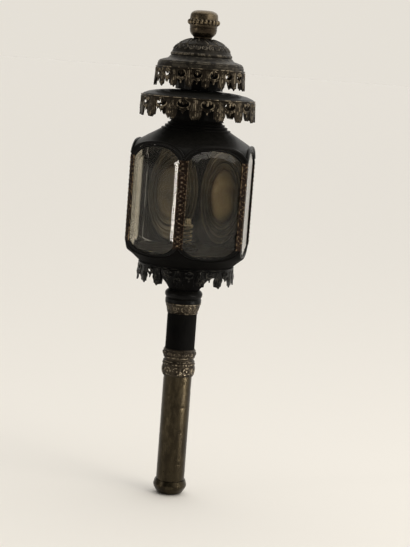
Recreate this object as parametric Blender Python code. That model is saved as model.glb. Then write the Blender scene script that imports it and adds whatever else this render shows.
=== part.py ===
"""Candle carriage lamp: a six-sided lantern on a stem, with pierced galleries and a spring-fed candle tube.

The origin is the centre of the stem's flat lower end, +Z runs up the stem, and the front corner faces -Y.
"""
import math

import bmesh
import bpy
from mathutils import Matrix, Vector

MM = 0.001

# Fits
GAP = 0.3 * MM
SHEET = 1.2 * MM
ROUND_STEPS = 28
STEM_STEPS = 24
SMALL_STEPS = 16

# Stem, from its lower end up
FERRULE_END_R = 14.0 * MM
FERRULE_RING_R = 22.2 * MM
FERRULE_H = 18.2 * MM
FERRULE_FLOOR = 6.0 * MM
STEM_R = 19.0 * MM
STEM_WALL = 2.0 * MM
SPIGOT_WALL = 1.0 * MM
SPIGOT_H = 38.0 * MM
STEM_TOP_Z = 188.0 * MM
COLLAR_H = 25.8 * MM
COLLAR_DROP = 1.4 * MM
COLLAR_R = 22.1 * MM
BEAD_RING_H = 10.5 * MM
BEAD_RING_R = 22.6 * MM
SOCKET_SHOWS = 57.2 * MM
SOCKET_LAP = 7.0 * MM
BAND_H = 13.7 * MM
BAND_R = 23.5 * MM
NECK_RING_H = 16.8 * MM
NECK_BEAD_R = 24.8 * MM

# Candle feed
CANDLE_TUBE_R = 11.0 * MM
CANDLE_TUBE_WALL = 0.8 * MM
CANDLE_TUBE_RISE = 4.0 * MM
CANDLE_TUBE_LENGTH = 178.0 * MM
CANDLE_TUBE_FLOOR = 2.0 * MM
CANDLE_FLANGE_LAP = 0.8 * MM
NOZZLE_R = 14.5 * MM
NOZZLE_MOUTH_R = 8.2 * MM
NOZZLE_SKIRT_H = 11.0 * MM
NOZZLE_LIP_H = 4.0 * MM
SPRING_COIL_R = 4.8 * MM
SPRING_WIRE_R = 0.75 * MM
SPRING_TURNS = 36
SPRING_RISE = 26.8 * MM
POINTS_PER_CURL = 7
FOLLOWER_R = 5.6 * MM
FOLLOWER_PLATE_H = 2.2 * MM
FOLLOWER_SPIKE_R = 2.4 * MM
FOLLOWER_SPIKE_H = 8.4 * MM

# Lantern body: a turned form cut by a hexagon
FACE_DIST = 75.0 * MM
BOWL_GAP = 0.5 * MM
BASE_DROP = 61.3 * MM
CORNER_H = 114.0 * MM
ROOF_RISE = 46.0 * MM
SHELL_RISE = 1.8 * MM
RIM_DEPTH = 1.2 * MM
RIM_WIDTH = 2.0 * MM
CORNER_FILL = 9.0 * MM
STRIP_LEG = 6.8 * MM
STRIP_THICK = 1.2 * MM
PANE_THICK = 3.0 * MM
PANE_BEVEL = 10.0 * MM
PANE_BEVEL_DROP = 1.2 * MM
PANE_LAP = 2.0 * MM
PANEL_THICK = 2.0 * MM
FLOOR_DROP = 8.6 * MM
FLOOR_INSET = 3.3 * MM

# Reflectors
REFLECTOR_LIFT = 3.2 * MM
REFLECTOR_HALF_W = 35.0 * MM
REFLECTOR_HALF_H = 64.0 * MM
REFLECTOR_DEPTH = 8.0 * MM
REFLECTOR_THICK = 0.9 * MM

# Door in the back left face
DOOR_CLEARANCE = 0.6 * MM
HINGE_BARREL_R = 2.0 * MM
HINGE_BORE_R = 1.2 * MM
HINGE_PIN_R = 0.9 * MM
HINGE_KNUCKLE_H = 9.0 * MM
HINGE_LEAF_W = 6.0 * MM
HINGE_LEAF_EASE = 0.2 * MM
HINGE_PIN_HEAD = 1.2 * MM
HINGE_OFFSETS = (-34.0 * MM, 34.0 * MM)
KNOB_R = 5.0 * MM
KNOB_STAND = 11.0 * MM
KNOB_INSET = 8.0 * MM

# Chimney stack
THROAT_R = 34.2 * MM
THROAT_FLARE = 1.6 * MM
THROAT_FLARE_H = 2.4 * MM
CANOPY_SHEET = 1.4 * MM
LOWER_CANOPY_R = 72.7 * MM
THROAT_H = 28.9 * MM
LOWER_CANOPY_H = 11.3 * MM
DRUM_R = 30.6 * MM
UPPER_CANOPY_R = 56.3 * MM
CANOPY_SPACE = 26.0 * MM
UPPER_CANOPY_H = 16.5 * MM
UPPER_WEB_RISE = 7.7 * MM
UPPER_CANOPY_SHARES = ((1.0, 0.10), (0.96, 0.42), (0.82, 0.60), (0.50, 0.72), (0.16, 0.82), (0.0, 1.0))
SMOKE_HOLE_R = 20.0 * MM
DOME_R = 40.3 * MM
DOME_H = 24.5 * MM
DOME_WALL = 1.4 * MM
STUD_R = 3.5 * MM
STUD_HOLE_R = 4.0 * MM
STUD_BELOW = 10.0 * MM
STUD_ABOVE = 15.0 * MM
NUT_HALF_W = 6.5 * MM
NUT_H = 4.0 * MM
FINIAL_H = 34.7 * MM
FINIAL_FLANGE_R = 21.1 * MM

# Pierced galleries
GALLERY_THICK = 0.9 * MM
GALLERY_BAND = 3.2 * MM
GALLERY_RING_W = 1.6 * MM
GALLERY_LAP = 2.2 * MM
LOWER_GALLERY_FLARE = 1.2 * MM
UPPER_GALLERY_FLARE = 0.6 * MM
LOWER_OVAL_HALF_H = 4.6 * MM
UPPER_OVAL_HALF_H = 4.6 * MM
BASE_OVAL_HALF_H = 4.0 * MM
LOWER_GALLERY_H = 27.5 * MM
LOWER_GALLERY_REPEATS = 15
UPPER_GALLERY_H = 25.5 * MM
UPPER_GALLERY_REPEATS = 17
BASE_GALLERY_R = 62.0 * MM
BASE_GALLERY_H = 24.7 * MM
BASE_GALLERY_REPEATS = 14
DRUM_VENTS = 9

SIXTH = math.radians(60.0)
FACE_ANGLES = {
    "front_left": math.radians(240.0),
    "front_right": math.radians(300.0),
    "side_right": math.radians(0.0),
    "back_right": math.radians(60.0),
    "back_left": math.radians(120.0),
    "side_left": math.radians(180.0),
}
# Shares of reach and of fall or rise along the bowl's and the roof's lines
BOWL_SHARES = ((0.0, 1.0), (0.06, 0.90), (0.20, 0.735), (0.62, 0.43), (0.825, 0.245), (0.871, 0.214),
               (0.94, 0.135), (1.0, 0.0))
ROOF_SHARES = ((0.0, 1.0), (0.10, 0.86), (0.30, 0.70), (0.55, 0.53), (0.784, 0.36), (0.84, 0.32),
               (0.925, 0.20), (1.0, 0.0))
# Places along a face where a shell's cut edge has its points, as shares of half the face
EDGE_SHARES = (-1.0, -0.88, -0.68, -0.3, 0.3, 0.68, 0.88)
GLAZED = ("front_left", "front_right", "side_right", "side_left")
CORNER_R = FACE_DIST / math.cos(SIXTH / 2)

# Heights that follow from the lengths, from the stem up
COLLAR_Z = STEM_TOP_Z - COLLAR_DROP - COLLAR_H
BAND_Z = STEM_TOP_Z + SOCKET_SHOWS
NECK_Z = BAND_Z + BAND_H + GAP
NECK_TOP_Z = NECK_Z + NECK_RING_H
SOCKET_TOP_Z = NECK_TOP_Z + SOCKET_LAP
BASE_CORNER_Z = NECK_TOP_Z + BOWL_GAP + BASE_DROP
ROOF_CORNER_Z = BASE_CORNER_Z + CORNER_H
FLOOR_Z = BASE_CORNER_Z - FLOOR_DROP
CANDLE_TUBE_TOP_Z = FLOOR_Z + CANDLE_TUBE_RISE
SPRING_TOP_Z = CANDLE_TUBE_TOP_Z + SPRING_RISE
REFLECTOR_Z = (BASE_CORNER_Z + ROOF_CORNER_Z) / 2 + REFLECTOR_LIFT
LOWER_CANOPY_RIM_Z = ROOF_CORNER_Z + ROOF_RISE + THROAT_H
UPPER_CANOPY_RIM_Z = LOWER_CANOPY_RIM_Z + LOWER_CANOPY_H + CANOPY_SPACE

# Colours, roughness and metallic value of each finish
FINISHES = {
    "black_japan": ((0.012, 0.012, 0.012), 0.45, 0.0),
    "aged_brass": ((0.30, 0.22, 0.12), 0.42, 1.0),
    "bronze_gallery": ((0.13, 0.09, 0.05), 0.5, 1.0),
    "copper_strip": ((0.20, 0.07, 0.035), 0.45, 1.0),
    "pane_glass": ((0.75, 0.80, 0.78), 0.05, 0.0),
    "reflector_metal": ((0.55, 0.46, 0.33), 0.3, 1.0),
    "spring_wire": ((0.62, 0.50, 0.28), 0.3, 1.0),
    "tinned_steel": ((0.45, 0.45, 0.43), 0.35, 1.0),
}

for old in list(bpy.data.objects):
    bpy.data.objects.remove(old, do_unlink=True)


def finish(name):
    """The material of one finish, made once."""
    material = bpy.data.materials.get(name)
    if material is None:
        colour, roughness, metallic = FINISHES[name]
        material = bpy.data.materials.new(name)
        material.use_nodes = True
        shader = material.node_tree.nodes["Principled BSDF"]
        shader.inputs["Base Color"].default_value = (*colour, 1.0)
        shader.inputs["Roughness"].default_value = roughness
        shader.inputs["Metallic"].default_value = metallic
    return material


def add_object(name, data, material, parent=None):
    """Link one named sub-part, keeping its place in the world when it has a parent."""
    obj = bpy.data.objects.new(name, data)
    bpy.context.collection.objects.link(obj)
    data.materials.append(finish(material))
    if parent is not None:
        obj.parent = parent
        obj.matrix_parent_inverse = parent.matrix_world.inverted()
    return obj


def add_axis(name, place):
    """An empty on a joint's axis, which carries the pieces that move about it."""
    empty = bpy.data.objects.new(name, None)
    bpy.context.collection.objects.link(empty)
    empty.location = place
    bpy.context.view_layer.update()
    return empty


def mesh_object(name, bm, material, parent=None, smooth_angle=35.0, closed=True):
    """Make a bmesh a named object, smooth except at its sharp edges; an open sheet keeps its directions."""
    if closed:
        bmesh.ops.recalc_face_normals(bm, faces=bm.faces)
    mesh = bpy.data.meshes.new(name)
    bm.to_mesh(mesh)
    bm.free()
    mesh.shade_smooth()
    mesh.set_sharp_from_angle(angle=math.radians(smooth_angle))
    return add_object(name, mesh, material, parent)


def spun(profile, steps=ROUND_STEPS, closed=True):
    """Spin a (radius, height) profile round the Z axis; a closed profile gives a ring."""
    bm = bmesh.new()
    verts = [bm.verts.new((r, 0.0, z)) for r, z in profile]
    edges = [bm.edges.new(pair) for pair in zip(verts, verts[1:])]
    if closed:
        edges.append(bm.edges.new((verts[-1], verts[0])))
    bmesh.ops.spin(bm, geom=verts + edges, cent=(0, 0, 0), axis=(0, 0, 1), dvec=(0, 0, 0),
                   angle=math.tau, steps=steps, use_merge=True, use_duplicate=False)
    bmesh.ops.remove_doubles(bm, verts=bm.verts, dist=1e-6)
    return bm


def turned(name, profile, material, parent=None, steps=ROUND_STEPS, closed=True):
    """A turned piece; a profile that starts and ends on the axis is not closed."""
    return mesh_object(name, spun(profile, steps, closed), material, parent)


def shares_of(radius, foot_z, height, *points):
    """Profile points given as shares of a radius and of a height above a foot."""
    return [(radius * r, foot_z + height * z) for r, z in points]


def curve_height(points, radius):
    """Height of a smooth turned line at a radius, through (radius, height) points in rising radius."""
    if radius <= points[0][0]:
        return points[0][1]
    for index in range(len(points) - 1):
        (r0, z0), (r1, z1) = points[index], points[index + 1]
        if radius <= r1 or index == len(points) - 2:
            share = (radius - r0) / (r1 - r0)
            return z0 + (z1 - z0) * share
    return points[-1][1]


def base_line():
    """The bowl under the lantern: a cone that swells outwards from the neck to the corners."""
    neck = STEM_R + 2 * GAP + BOWL_GAP
    reach = CORNER_R - neck
    points = []
    for share, drop in BOWL_SHARES:
        points.append((neck + reach * share, BASE_CORNER_Z - BASE_DROP * drop))
    return points


def roof_line():
    """The roof over the lantern: a cone that rounds over towards the corners."""
    reach = CORNER_R - (THROAT_R - SHEET)
    points = []
    for share, rise in ROOF_SHARES:
        points.append((THROAT_R - SHEET + reach * share, ROOF_CORNER_Z + ROOF_RISE * rise))
    return points


BASE_LINE = base_line()
ROOF_LINE = roof_line()


def edge_height(line, u):
    """Height of a shell's cut edge at a place along a face, straight between the edge's points."""
    half = FACE_DIST * math.tan(SIXTH / 2)
    edge = []
    for share in EDGE_SHARES + (1.0,):
        edge.append((half * share, curve_height(line, math.hypot(FACE_DIST, half * share))))
    return curve_height(edge, u)


def hexagon_reach(angle, distance):
    """Distance from the axis to a hexagon's side at an angle."""
    local = (angle + SIXTH / 2) % SIXTH - SIXTH / 2
    return distance / math.cos(local)


def hexagon_shell(name, line, offset, material):
    """A sheet of the turned line, from its inner circle out to the hexagon of the faces."""
    inner = line[0][0]
    angles = []
    for side in range(6):
        angles += [SIXTH * side + math.atan(share * math.tan(SIXTH / 2)) for share in EDGE_SHARES]
    count = len(angles)
    shares = [(r - inner) / (CORNER_R - inner) for r, z in line]
    bm = bmesh.new()
    layers = []
    for lift in (0.0, offset):
        rings = []
        for share in shares:
            ring = []
            for angle in angles:
                radius = inner + (hexagon_reach(angle, FACE_DIST) - inner) * share
                height = curve_height(line, radius) + lift
                ring.append(bm.verts.new((radius * math.cos(angle), radius * math.sin(angle), height)))
            rings.append(ring)
        layers.append(rings)
    top, under = layers
    for rings in layers:
        for low, high in zip(rings, rings[1:]):
            for i in range(count):
                j = (i + 1) % count
                bm.faces.new((low[i], low[j], high[j], high[i]))
    for edge in (0, -1):
        for i in range(count):
            j = (i + 1) % count
            bm.faces.new((top[edge][i], top[edge][j], under[edge][j], under[edge][i]))
    return mesh_object(name, bm, material)


def hexagon_plate(name, distance, hole_r, low_z, high_z, material):
    """A flat hexagon with a round hole, such as a floor or a nut."""
    count = STEM_STEPS
    bm = bmesh.new()
    rings = {}
    for height in (low_z, high_z):
        for edge in ("side", "hole"):
            ring = []
            for i in range(count):
                angle = math.tau * i / count - SIXTH / 2
                reach = hexagon_reach(angle, distance) if edge == "side" else hole_r
                ring.append(bm.verts.new((reach * math.cos(angle), reach * math.sin(angle), height)))
            rings[edge, height] = ring
    bands = [(rings["side", low_z], rings["side", high_z]), (rings["hole", low_z], rings["hole", high_z]),
             (rings["side", low_z], rings["hole", low_z]), (rings["side", high_z], rings["hole", high_z])]
    for first, second in bands:
        for i in range(count):
            j = (i + 1) % count
            bm.faces.new((first[i], first[j], second[j], second[i]))
    return mesh_object(name, bm, material)


def face_point(face, u, distance, z):
    """A point on a side face: u along the face, distance out from the axis, z up."""
    angle = FACE_ANGLES[face]
    out = Vector((math.cos(angle), math.sin(angle), 0.0))
    along = Vector((-math.sin(angle), math.cos(angle), 0.0))
    return out * distance + along * u + Vector((0.0, 0.0, z))


def arched_outline(half_width, inset, fill=0.0):
    """Outline (u, z) of a face panel, between the roof's and the bowl's cut edges, drawn in by inset.

    A fill rounds the four corners, by as much as it takes off the height at either end.
    """
    lower = []
    upper = []
    for share in EDGE_SHARES + (1.0,):
        u = half_width * share
        drawn = SHELL_RISE + GAP + inset + fill * (1.0 - math.sqrt(1.0 - share * share))
        lower.append((u, edge_height(BASE_LINE, u) + drawn))
        upper.append((-u, edge_height(ROOF_LINE, u) - drawn))
    return lower + upper


def bridge(bm, first, second):
    """Side faces between two loops of as many points."""
    for i in range(len(first)):
        j = (i + 1) % len(first)
        bm.faces.new((first[i], first[j], second[j], second[i]))


def face_loop(bm, face, outline, distance):
    """An outline's points on a face, at a distance from the axis."""
    return [bm.verts.new(face_point(face, u, distance, z)) for u, z in outline]


def stepped_plate(face, steps):
    """A closed plate through outlines of as many points, each at its own distance."""
    bm = bmesh.new()
    loops = [face_loop(bm, face, outline, distance) for outline, distance in steps]
    for first, second in zip(loops, loops[1:]):
        bridge(bm, first, second)
    bm.faces.new(loops[0])
    bm.faces.new(loops[-1])
    return bm


def window_rim(name, face, opening_half, fill, material):
    """An arched frame that fills a face to its corners and leaves an arched opening."""
    near = FACE_DIST - RIM_DEPTH
    outline = arched_outline(near * math.tan(SIXTH / 2) - GAP, 0.0)
    opening = arched_outline(opening_half, RIM_WIDTH, fill)
    bm = bmesh.new()
    loops = []
    for points, distance in ((outline, near), (outline, FACE_DIST), (opening, FACE_DIST), (opening, near)):
        loops.append(face_loop(bm, face, points, distance))
    for first, second in zip(loops, loops[1:] + loops[:1]):
        bridge(bm, first, second)
    return mesh_object(name, bm, material)


def glass_pane(name, face, opening_half):
    """A pane whose bevelled edge lies behind its rim and whose flat front rises into the opening."""
    ledge = FACE_DIST - RIM_DEPTH - GAP
    back = ledge + PANE_BEVEL_DROP - PANE_THICK
    half = opening_half + PANE_LAP
    inset = RIM_WIDTH - PANE_LAP
    outline = arched_outline(half, inset, CORNER_FILL)
    field = arched_outline(half - PANE_BEVEL, inset + PANE_BEVEL, CORNER_FILL)
    bm = stepped_plate(face, ((outline, back), (outline, ledge), (field, ledge + PANE_BEVEL_DROP)))
    return mesh_object(name, bm, "pane_glass", smooth_angle=5.0)


def back_sheet(name, face, half_width, inset, parent=None):
    """An arched sheet that closes one of the back faces."""
    outline = arched_outline(half_width, inset)
    bm = stepped_plate(face, ((outline, FACE_DIST - PANEL_THICK), (outline, FACE_DIST)))
    return mesh_object(name, bm, "black_japan", parent)


def reflector(name, face, parent=None):
    """A dished oval reflector with a raised ring, standing off the inside of a back panel."""
    seat = FACE_DIST - PANEL_THICK - GAP
    steps = STEM_STEPS
    rings = ((1.0, REFLECTOR_DEPTH), (0.90, 0.74 * REFLECTOR_DEPTH), (0.74, 0.5 * REFLECTOR_DEPTH),
             (0.68, 0.64 * REFLECTOR_DEPTH), (0.58, 0.4 * REFLECTOR_DEPTH),
             (0.30, REFLECTOR_THICK + 0.1 * REFLECTOR_DEPTH))
    bm = bmesh.new()
    sheets = []
    for back in (0.0, REFLECTOR_THICK):
        sheet = []
        for share, depth in rings:
            loop = []
            for i in range(steps):
                angle = math.tau * i / steps
                u = REFLECTOR_HALF_W * share * math.cos(angle)
                z = REFLECTOR_Z + REFLECTOR_HALF_H * share * math.sin(angle)
                loop.append(bm.verts.new(face_point(face, u, seat - depth + back, z)))
            sheet.append(loop)
        sheets.append(sheet)
    for sheet in sheets:
        for outer, inner in zip(sheet, sheet[1:]):
            for i in range(steps):
                j = (i + 1) % steps
                bm.faces.new((outer[i], outer[j], inner[j], inner[i]))
        bm.faces.new(sheet[-1])
    for i in range(steps):
        j = (i + 1) % steps
        bm.faces.new((sheets[0][0][i], sheets[0][0][j], sheets[1][0][j], sheets[1][0][i]))
    return mesh_object(name, bm, "reflector_metal", parent)


def corner_strip(name, angle):
    """A stamped angle strip that laps the two faces at one corner."""
    inner = FACE_DIST + GAP
    outer = inner + STRIP_THICK
    edge_half = FACE_DIST * math.tan(SIXTH / 2) - STRIP_LEG
    section = []
    for distance, side in ((outer, -1), (outer, 0), (outer, 1), (inner, 1), (inner, 0), (inner, -1)):
        normal = angle + side * SIXTH / 2
        if side == 0:
            radius = distance / math.cos(SIXTH / 2)
            section.append((radius * math.cos(angle), radius * math.sin(angle)))
        else:
            out = Vector((math.cos(normal), math.sin(normal)))
            along = Vector((-math.sin(normal), math.cos(normal))) * -side
            place = out * distance + along * edge_half
            section.append((place.x, place.y))
    bm = bmesh.new()
    low_z = BASE_CORNER_Z + SHELL_RISE / 2
    high_z = ROOF_CORNER_Z - SHELL_RISE / 2
    low = [bm.verts.new((x, y, low_z)) for x, y in section]
    bm.faces.new(low)
    grown = bmesh.ops.extrude_face_region(bm, geom=list(bm.faces))
    moved = [item for item in grown["geom"] if isinstance(item, bmesh.types.BMVert)]
    bmesh.ops.translate(bm, verts=moved, vec=(0.0, 0.0, high_z - low_z))
    return mesh_object(name, bm, "copper_strip")


def half_hole(centre_v, half_u, half_v, steps=3):
    """The left half of an oval hole on a cell's middle line, from its top down."""
    points = []
    for i in range(steps + 1):
        angle = math.pi * i / steps
        points.append((0.5 - half_u * math.sin(angle), centre_v + half_v * math.cos(angle)))
    return points


def pierced_ring(name, half_cell, inner_r, flare, top_z, repeats, material):
    """A sheet ring of one mirrored cell repeated round the axis, clear of a round piece of radius inner_r.

    The half cell's u runs from 0 at the cell's side to 0.5 at its middle line, and its v is the height
    below the ring's top edge.
    """
    bm = bmesh.new()
    lowest = min(v for u, v in half_cell)
    radius = inner_r / math.cos(math.pi / (2 * repeats))
    for k in range(repeats):
        for mirrored in (False, True):
            verts = []
            for u, v in half_cell:
                angle = math.tau * (k + (1.0 - u if mirrored else u)) / repeats
                reach = radius + flare * v / lowest
                verts.append(bm.verts.new((reach * math.cos(angle), reach * math.sin(angle), top_z + v)))
            bm.faces.new(verts if mirrored else verts[::-1])
    bmesh.ops.remove_doubles(bm, verts=bm.verts, dist=1e-6)
    bmesh.ops.triangulate(bm, faces=bm.faces)
    for face in bm.faces:
        face.normal_update()
    obj = mesh_object(name, bm, material, closed=False)
    wall = obj.modifiers.new("sheet", "SOLIDIFY")
    wall.thickness = GALLERY_THICK
    wall.offset = 1.0
    wall.use_even_offset = False
    return obj


def gallery_cell(height, band, oval_half_u, oval_half_v, ring_w, pendant_half_u):
    """Half of one gallery repeat, from a pendant's middle line at u 0 to an oval opening's at u 0.5."""
    oval_v = -band - oval_half_v
    ring_foot = oval_v - oval_half_v - ring_w
    return [(0.0, 0.0), (0.5, 0.0)] + half_hole(oval_v, oval_half_u, oval_half_v) + [
        (0.5, ring_foot - ring_w), (0.5 - 0.6 * oval_half_u, ring_foot), (0.7 * pendant_half_u, ring_foot),
        (pendant_half_u, 0.5 * (ring_foot - height)), (0.8 * pendant_half_u, -0.9 * height), (0.0, -height),
    ]


# Stem, from its lower end up
sheath_bore_r = STEM_R - STEM_WALL
ferrule_bore_r = STEM_R + GAP
stem_foot_z = FERRULE_FLOOR + GAP
turned("ferrule", [(0.0, 0.0), (FERRULE_END_R, 0.0)] + shares_of(
    FERRULE_RING_R, 0.0, FERRULE_H, (0.766, 0.088), (0.878, 0.275), (0.973, 0.478), (1.0, 0.643),
    (0.973, 0.808), (0.923, 1.0)) + [
    (ferrule_bore_r, FERRULE_H), (ferrule_bore_r, FERRULE_FLOOR), (0.0, FERRULE_FLOOR),
], "aged_brass", steps=STEM_STEPS, closed=False)
spigot_r = sheath_bore_r + SPIGOT_WALL
spigot_top_z = STEM_TOP_Z + SPIGOT_H
turned("stem_sheath", [
    (STEM_R, stem_foot_z), (STEM_R, STEM_TOP_Z), (spigot_r, STEM_TOP_Z),
    (spigot_r, spigot_top_z), (sheath_bore_r, spigot_top_z), (sheath_bore_r, stem_foot_z),
], "aged_brass", steps=STEM_STEPS)

# Candle tube, nozzle, spring and follower
candle_bore_r = CANDLE_TUBE_R - CANDLE_TUBE_WALL
candle_foot_z = CANDLE_TUBE_TOP_Z - CANDLE_TUBE_LENGTH
flange_foot_z = spigot_top_z + GAP
flange_r = sheath_bore_r + CANDLE_FLANGE_LAP
turned("candle_tube", [
    (0.0, candle_foot_z), (CANDLE_TUBE_R, candle_foot_z), (CANDLE_TUBE_R, flange_foot_z),
    (flange_r, flange_foot_z), (flange_r, flange_foot_z + SHEET), (CANDLE_TUBE_R, flange_foot_z + SHEET),
    (CANDLE_TUBE_R, CANDLE_TUBE_TOP_Z), (candle_bore_r, CANDLE_TUBE_TOP_Z),
    (candle_bore_r, candle_foot_z + CANDLE_TUBE_FLOOR), (0.0, candle_foot_z + CANDLE_TUBE_FLOOR),
], "tinned_steel", steps=SMALL_STEPS, closed=False)
nozzle_bore_r = CANDLE_TUBE_R + GAP
nozzle_seat_z = CANDLE_TUBE_TOP_Z + GAP
nozzle_foot_z = CANDLE_TUBE_TOP_Z - NOZZLE_SKIRT_H
nozzle_top_z = nozzle_seat_z + NOZZLE_LIP_H
turned("candle_nozzle", [
    (nozzle_bore_r + SHEET, nozzle_foot_z), (nozzle_bore_r + SHEET, nozzle_seat_z - 0.5 * NOZZLE_LIP_H),
    (NOZZLE_R, nozzle_seat_z - 0.125 * NOZZLE_LIP_H), (NOZZLE_R, nozzle_seat_z + 0.25 * NOZZLE_LIP_H),
    (nozzle_bore_r, nozzle_top_z), (NOZZLE_MOUTH_R, nozzle_top_z), (NOZZLE_MOUTH_R, nozzle_seat_z),
    (nozzle_bore_r, nozzle_seat_z), (nozzle_bore_r, nozzle_foot_z),
], "aged_brass", steps=SMALL_STEPS)

spring_foot_z = candle_foot_z + CANDLE_TUBE_FLOOR + GAP


def spring_points():
    """The wire's centre line: straight ends one wire thick, and the curls between them."""
    end = 2 * SPRING_WIRE_R
    low = spring_foot_z + end
    high = SPRING_TOP_Z - end
    points = [Vector((SPRING_COIL_R, 0.0, spring_foot_z))]
    count = SPRING_TURNS * POINTS_PER_CURL
    for i in range(count + 1):
        angle = math.tau * i / POINTS_PER_CURL
        height = low + (high - low) * i / count
        points.append(Vector((SPRING_COIL_R * math.cos(angle), SPRING_COIL_R * math.sin(angle), height)))
    points.append(Vector((SPRING_COIL_R, 0.0, SPRING_TOP_Z)))
    return points


def least_self_gap(points):
    """Least clear distance between one curl and the next."""
    least = min((points[i] - points[i + POINTS_PER_CURL]).length
                for i in range(1, len(points) - POINTS_PER_CURL - 1))
    return least - 2 * SPRING_WIRE_R


wire_points = spring_points()
print("least gap between the spring's curls, mm:", round(least_self_gap(wire_points) / MM, 2))
wire = bpy.data.curves.new("candle_spring", "CURVE")
wire.dimensions = "3D"
wire.bevel_depth = SPRING_WIRE_R
wire.bevel_resolution = 1
wire.use_fill_caps = True
spline = wire.splines.new("POLY")
spline.points.add(len(wire_points) - 1)
for spot, place in zip(spline.points, wire_points):
    spot.co = (*place, 1.0)
add_object("candle_spring", wire, "spring_wire")

follower_z = SPRING_TOP_Z + GAP
follower_axis = add_axis("follower_axis", (0.0, 0.0, follower_z))
spike_z = follower_z + FOLLOWER_PLATE_H
turned("candle_follower", shares_of(
    FOLLOWER_R, follower_z, FOLLOWER_PLATE_H, (0.0, 0.0), (1.0, 0.0), (1.0, 0.73), (0.54, 1.0)) + shares_of(
    FOLLOWER_SPIKE_R, spike_z, FOLLOWER_SPIKE_H, (1.0, 0.14), (1.0, 0.62), (0.4, 0.96), (0.0, 1.0),
), "tinned_steel", follower_axis, steps=SMALL_STEPS, closed=False)

# Bayonet collar on the stem, and the black socket above it
collar_axis = add_axis("collar_axis", (0.0, 0.0, COLLAR_Z))
collar_top_z = COLLAR_Z + COLLAR_H
collar_bore_r = STEM_R + GAP
turned("bayonet_collar", [(collar_bore_r, COLLAR_Z)] + shares_of(
    COLLAR_R, COLLAR_Z, COLLAR_H, (0.932, 0.0), (0.977, 0.10), (1.0, 0.27), (1.0, 0.54), (0.973, 0.736),
    (0.923, 0.833), (0.923, 0.911), (0.959, 1.0)) + [(collar_bore_r, collar_top_z)],
    "aged_brass", collar_axis, steps=STEM_STEPS)
socket_bore_r = spigot_r + GAP
socket_r = socket_bore_r + SHEET
socket_foot_z = STEM_TOP_Z + GAP
turned("stem_socket", [
    (socket_r, socket_foot_z), (socket_r, SOCKET_TOP_Z), (socket_bore_r, SOCKET_TOP_Z),
    (socket_bore_r, socket_foot_z),
], "black_japan", steps=STEM_STEPS)
ring_bore_r = socket_r + GAP
ring_foot_z = collar_top_z + GAP
turned("bead_ring", [(ring_bore_r, ring_foot_z)] + shares_of(
    BEAD_RING_R, ring_foot_z, BEAD_RING_H, (0.917, 0.0), (0.969, 0.171), (1.0, 0.419), (0.969, 0.667),
    (0.912, 1.0)) + [(ring_bore_r, ring_foot_z + BEAD_RING_H)], "aged_brass", steps=STEM_STEPS)
turned("stem_band", [(ring_bore_r, BAND_Z)] + shares_of(
    BAND_R, BAND_Z, BAND_H, (0.868, 0.0), (0.877, 0.15), (0.919, 0.5), (1.0, 0.88), (1.0, 1.0),
) + [(ring_bore_r, BAND_Z + BAND_H)], "aged_brass", steps=STEM_STEPS)
turned("neck_ring", [(ring_bore_r, NECK_Z)] + shares_of(
    NECK_BEAD_R, NECK_Z, NECK_RING_H, (0.96, 0.0), (0.96, 0.30), (0.927, 0.38), (0.976, 0.5), (1.0, 0.66),
    (0.976, 0.82), (0.911, 0.95), (0.835, 1.0)) + [(ring_bore_r, NECK_TOP_Z)],
    "black_japan", steps=STEM_STEPS)

# Lantern shells and floor
hexagon_shell("base_bowl", BASE_LINE, SHELL_RISE, "black_japan")
hexagon_shell("roof_shell", ROOF_LINE, -SHELL_RISE, "black_japan")

floor_dist = FACE_DIST - RIM_DEPTH - PANE_THICK - FLOOR_INSET
hexagon_plate("chamber_floor", floor_dist, NOZZLE_R + 3 * GAP, FLOOR_Z, FLOOR_Z + SHEET, "tinned_steel")

# Corner strips, window rims and panes
for number in range(6):
    corner_strip(f"corner_strip_{number + 1}", math.radians(270.0) + SIXTH * number)
strip_edge_half = FACE_DIST * math.tan(SIXTH / 2) - STRIP_LEG
pane_half = (FACE_DIST - RIM_DEPTH - GAP - PANE_THICK) * math.tan(SIXTH / 2) - GAP
window_half = pane_half - PANE_LAP
for face in GLAZED:
    window_rim(f"window_rim_{face}", face, window_half, CORNER_FILL, "black_japan")
    glass_pane(f"glass_{face}", face, window_half)

# Fixed back face
panel_half = (FACE_DIST - PANEL_THICK) * math.tan(SIXTH / 2) - RIM_DEPTH * math.tan(SIXTH / 2)
back_sheet("back_panel", "back_right", panel_half, 0.0)
reflector("back_reflector", "back_right")

# Door face: jamb, leaf, reflector, hinges and knob
door_face = "back_left"
jamb_half = strip_edge_half - GAP
window_rim("door_jamb", door_face, jamb_half, 0.0, "black_japan")
door_half = jamb_half - DOOR_CLEARANCE
hinge_dist = FACE_DIST + GAP + STRIP_THICK + GAP + HINGE_BARREL_R
hinge_u = door_half
hinge_axis = add_axis("door_axis", face_point(door_face, hinge_u, hinge_dist, REFLECTOR_Z))
back_sheet("door_panel", door_face, door_half, RIM_WIDTH + DOOR_CLEARANCE, hinge_axis)
reflector("door_reflector", door_face, hinge_axis)


def face_box(face, u0, u1, d0, d1, z0, z1):
    """A block on a face, between two places along it, two distances and two heights."""
    bm = bmesh.new()
    corners = []
    for u in (u0, u1):
        for d in (d0, d1):
            corners += [bm.verts.new(face_point(face, u, d, z)) for z in (z0, z1)]
    for quad in ((0, 1, 3, 2), (4, 6, 7, 5), (0, 4, 5, 1), (2, 3, 7, 6), (0, 2, 6, 4), (1, 5, 7, 3)):
        bm.faces.new([corners[i] for i in quad])
    return bm


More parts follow.
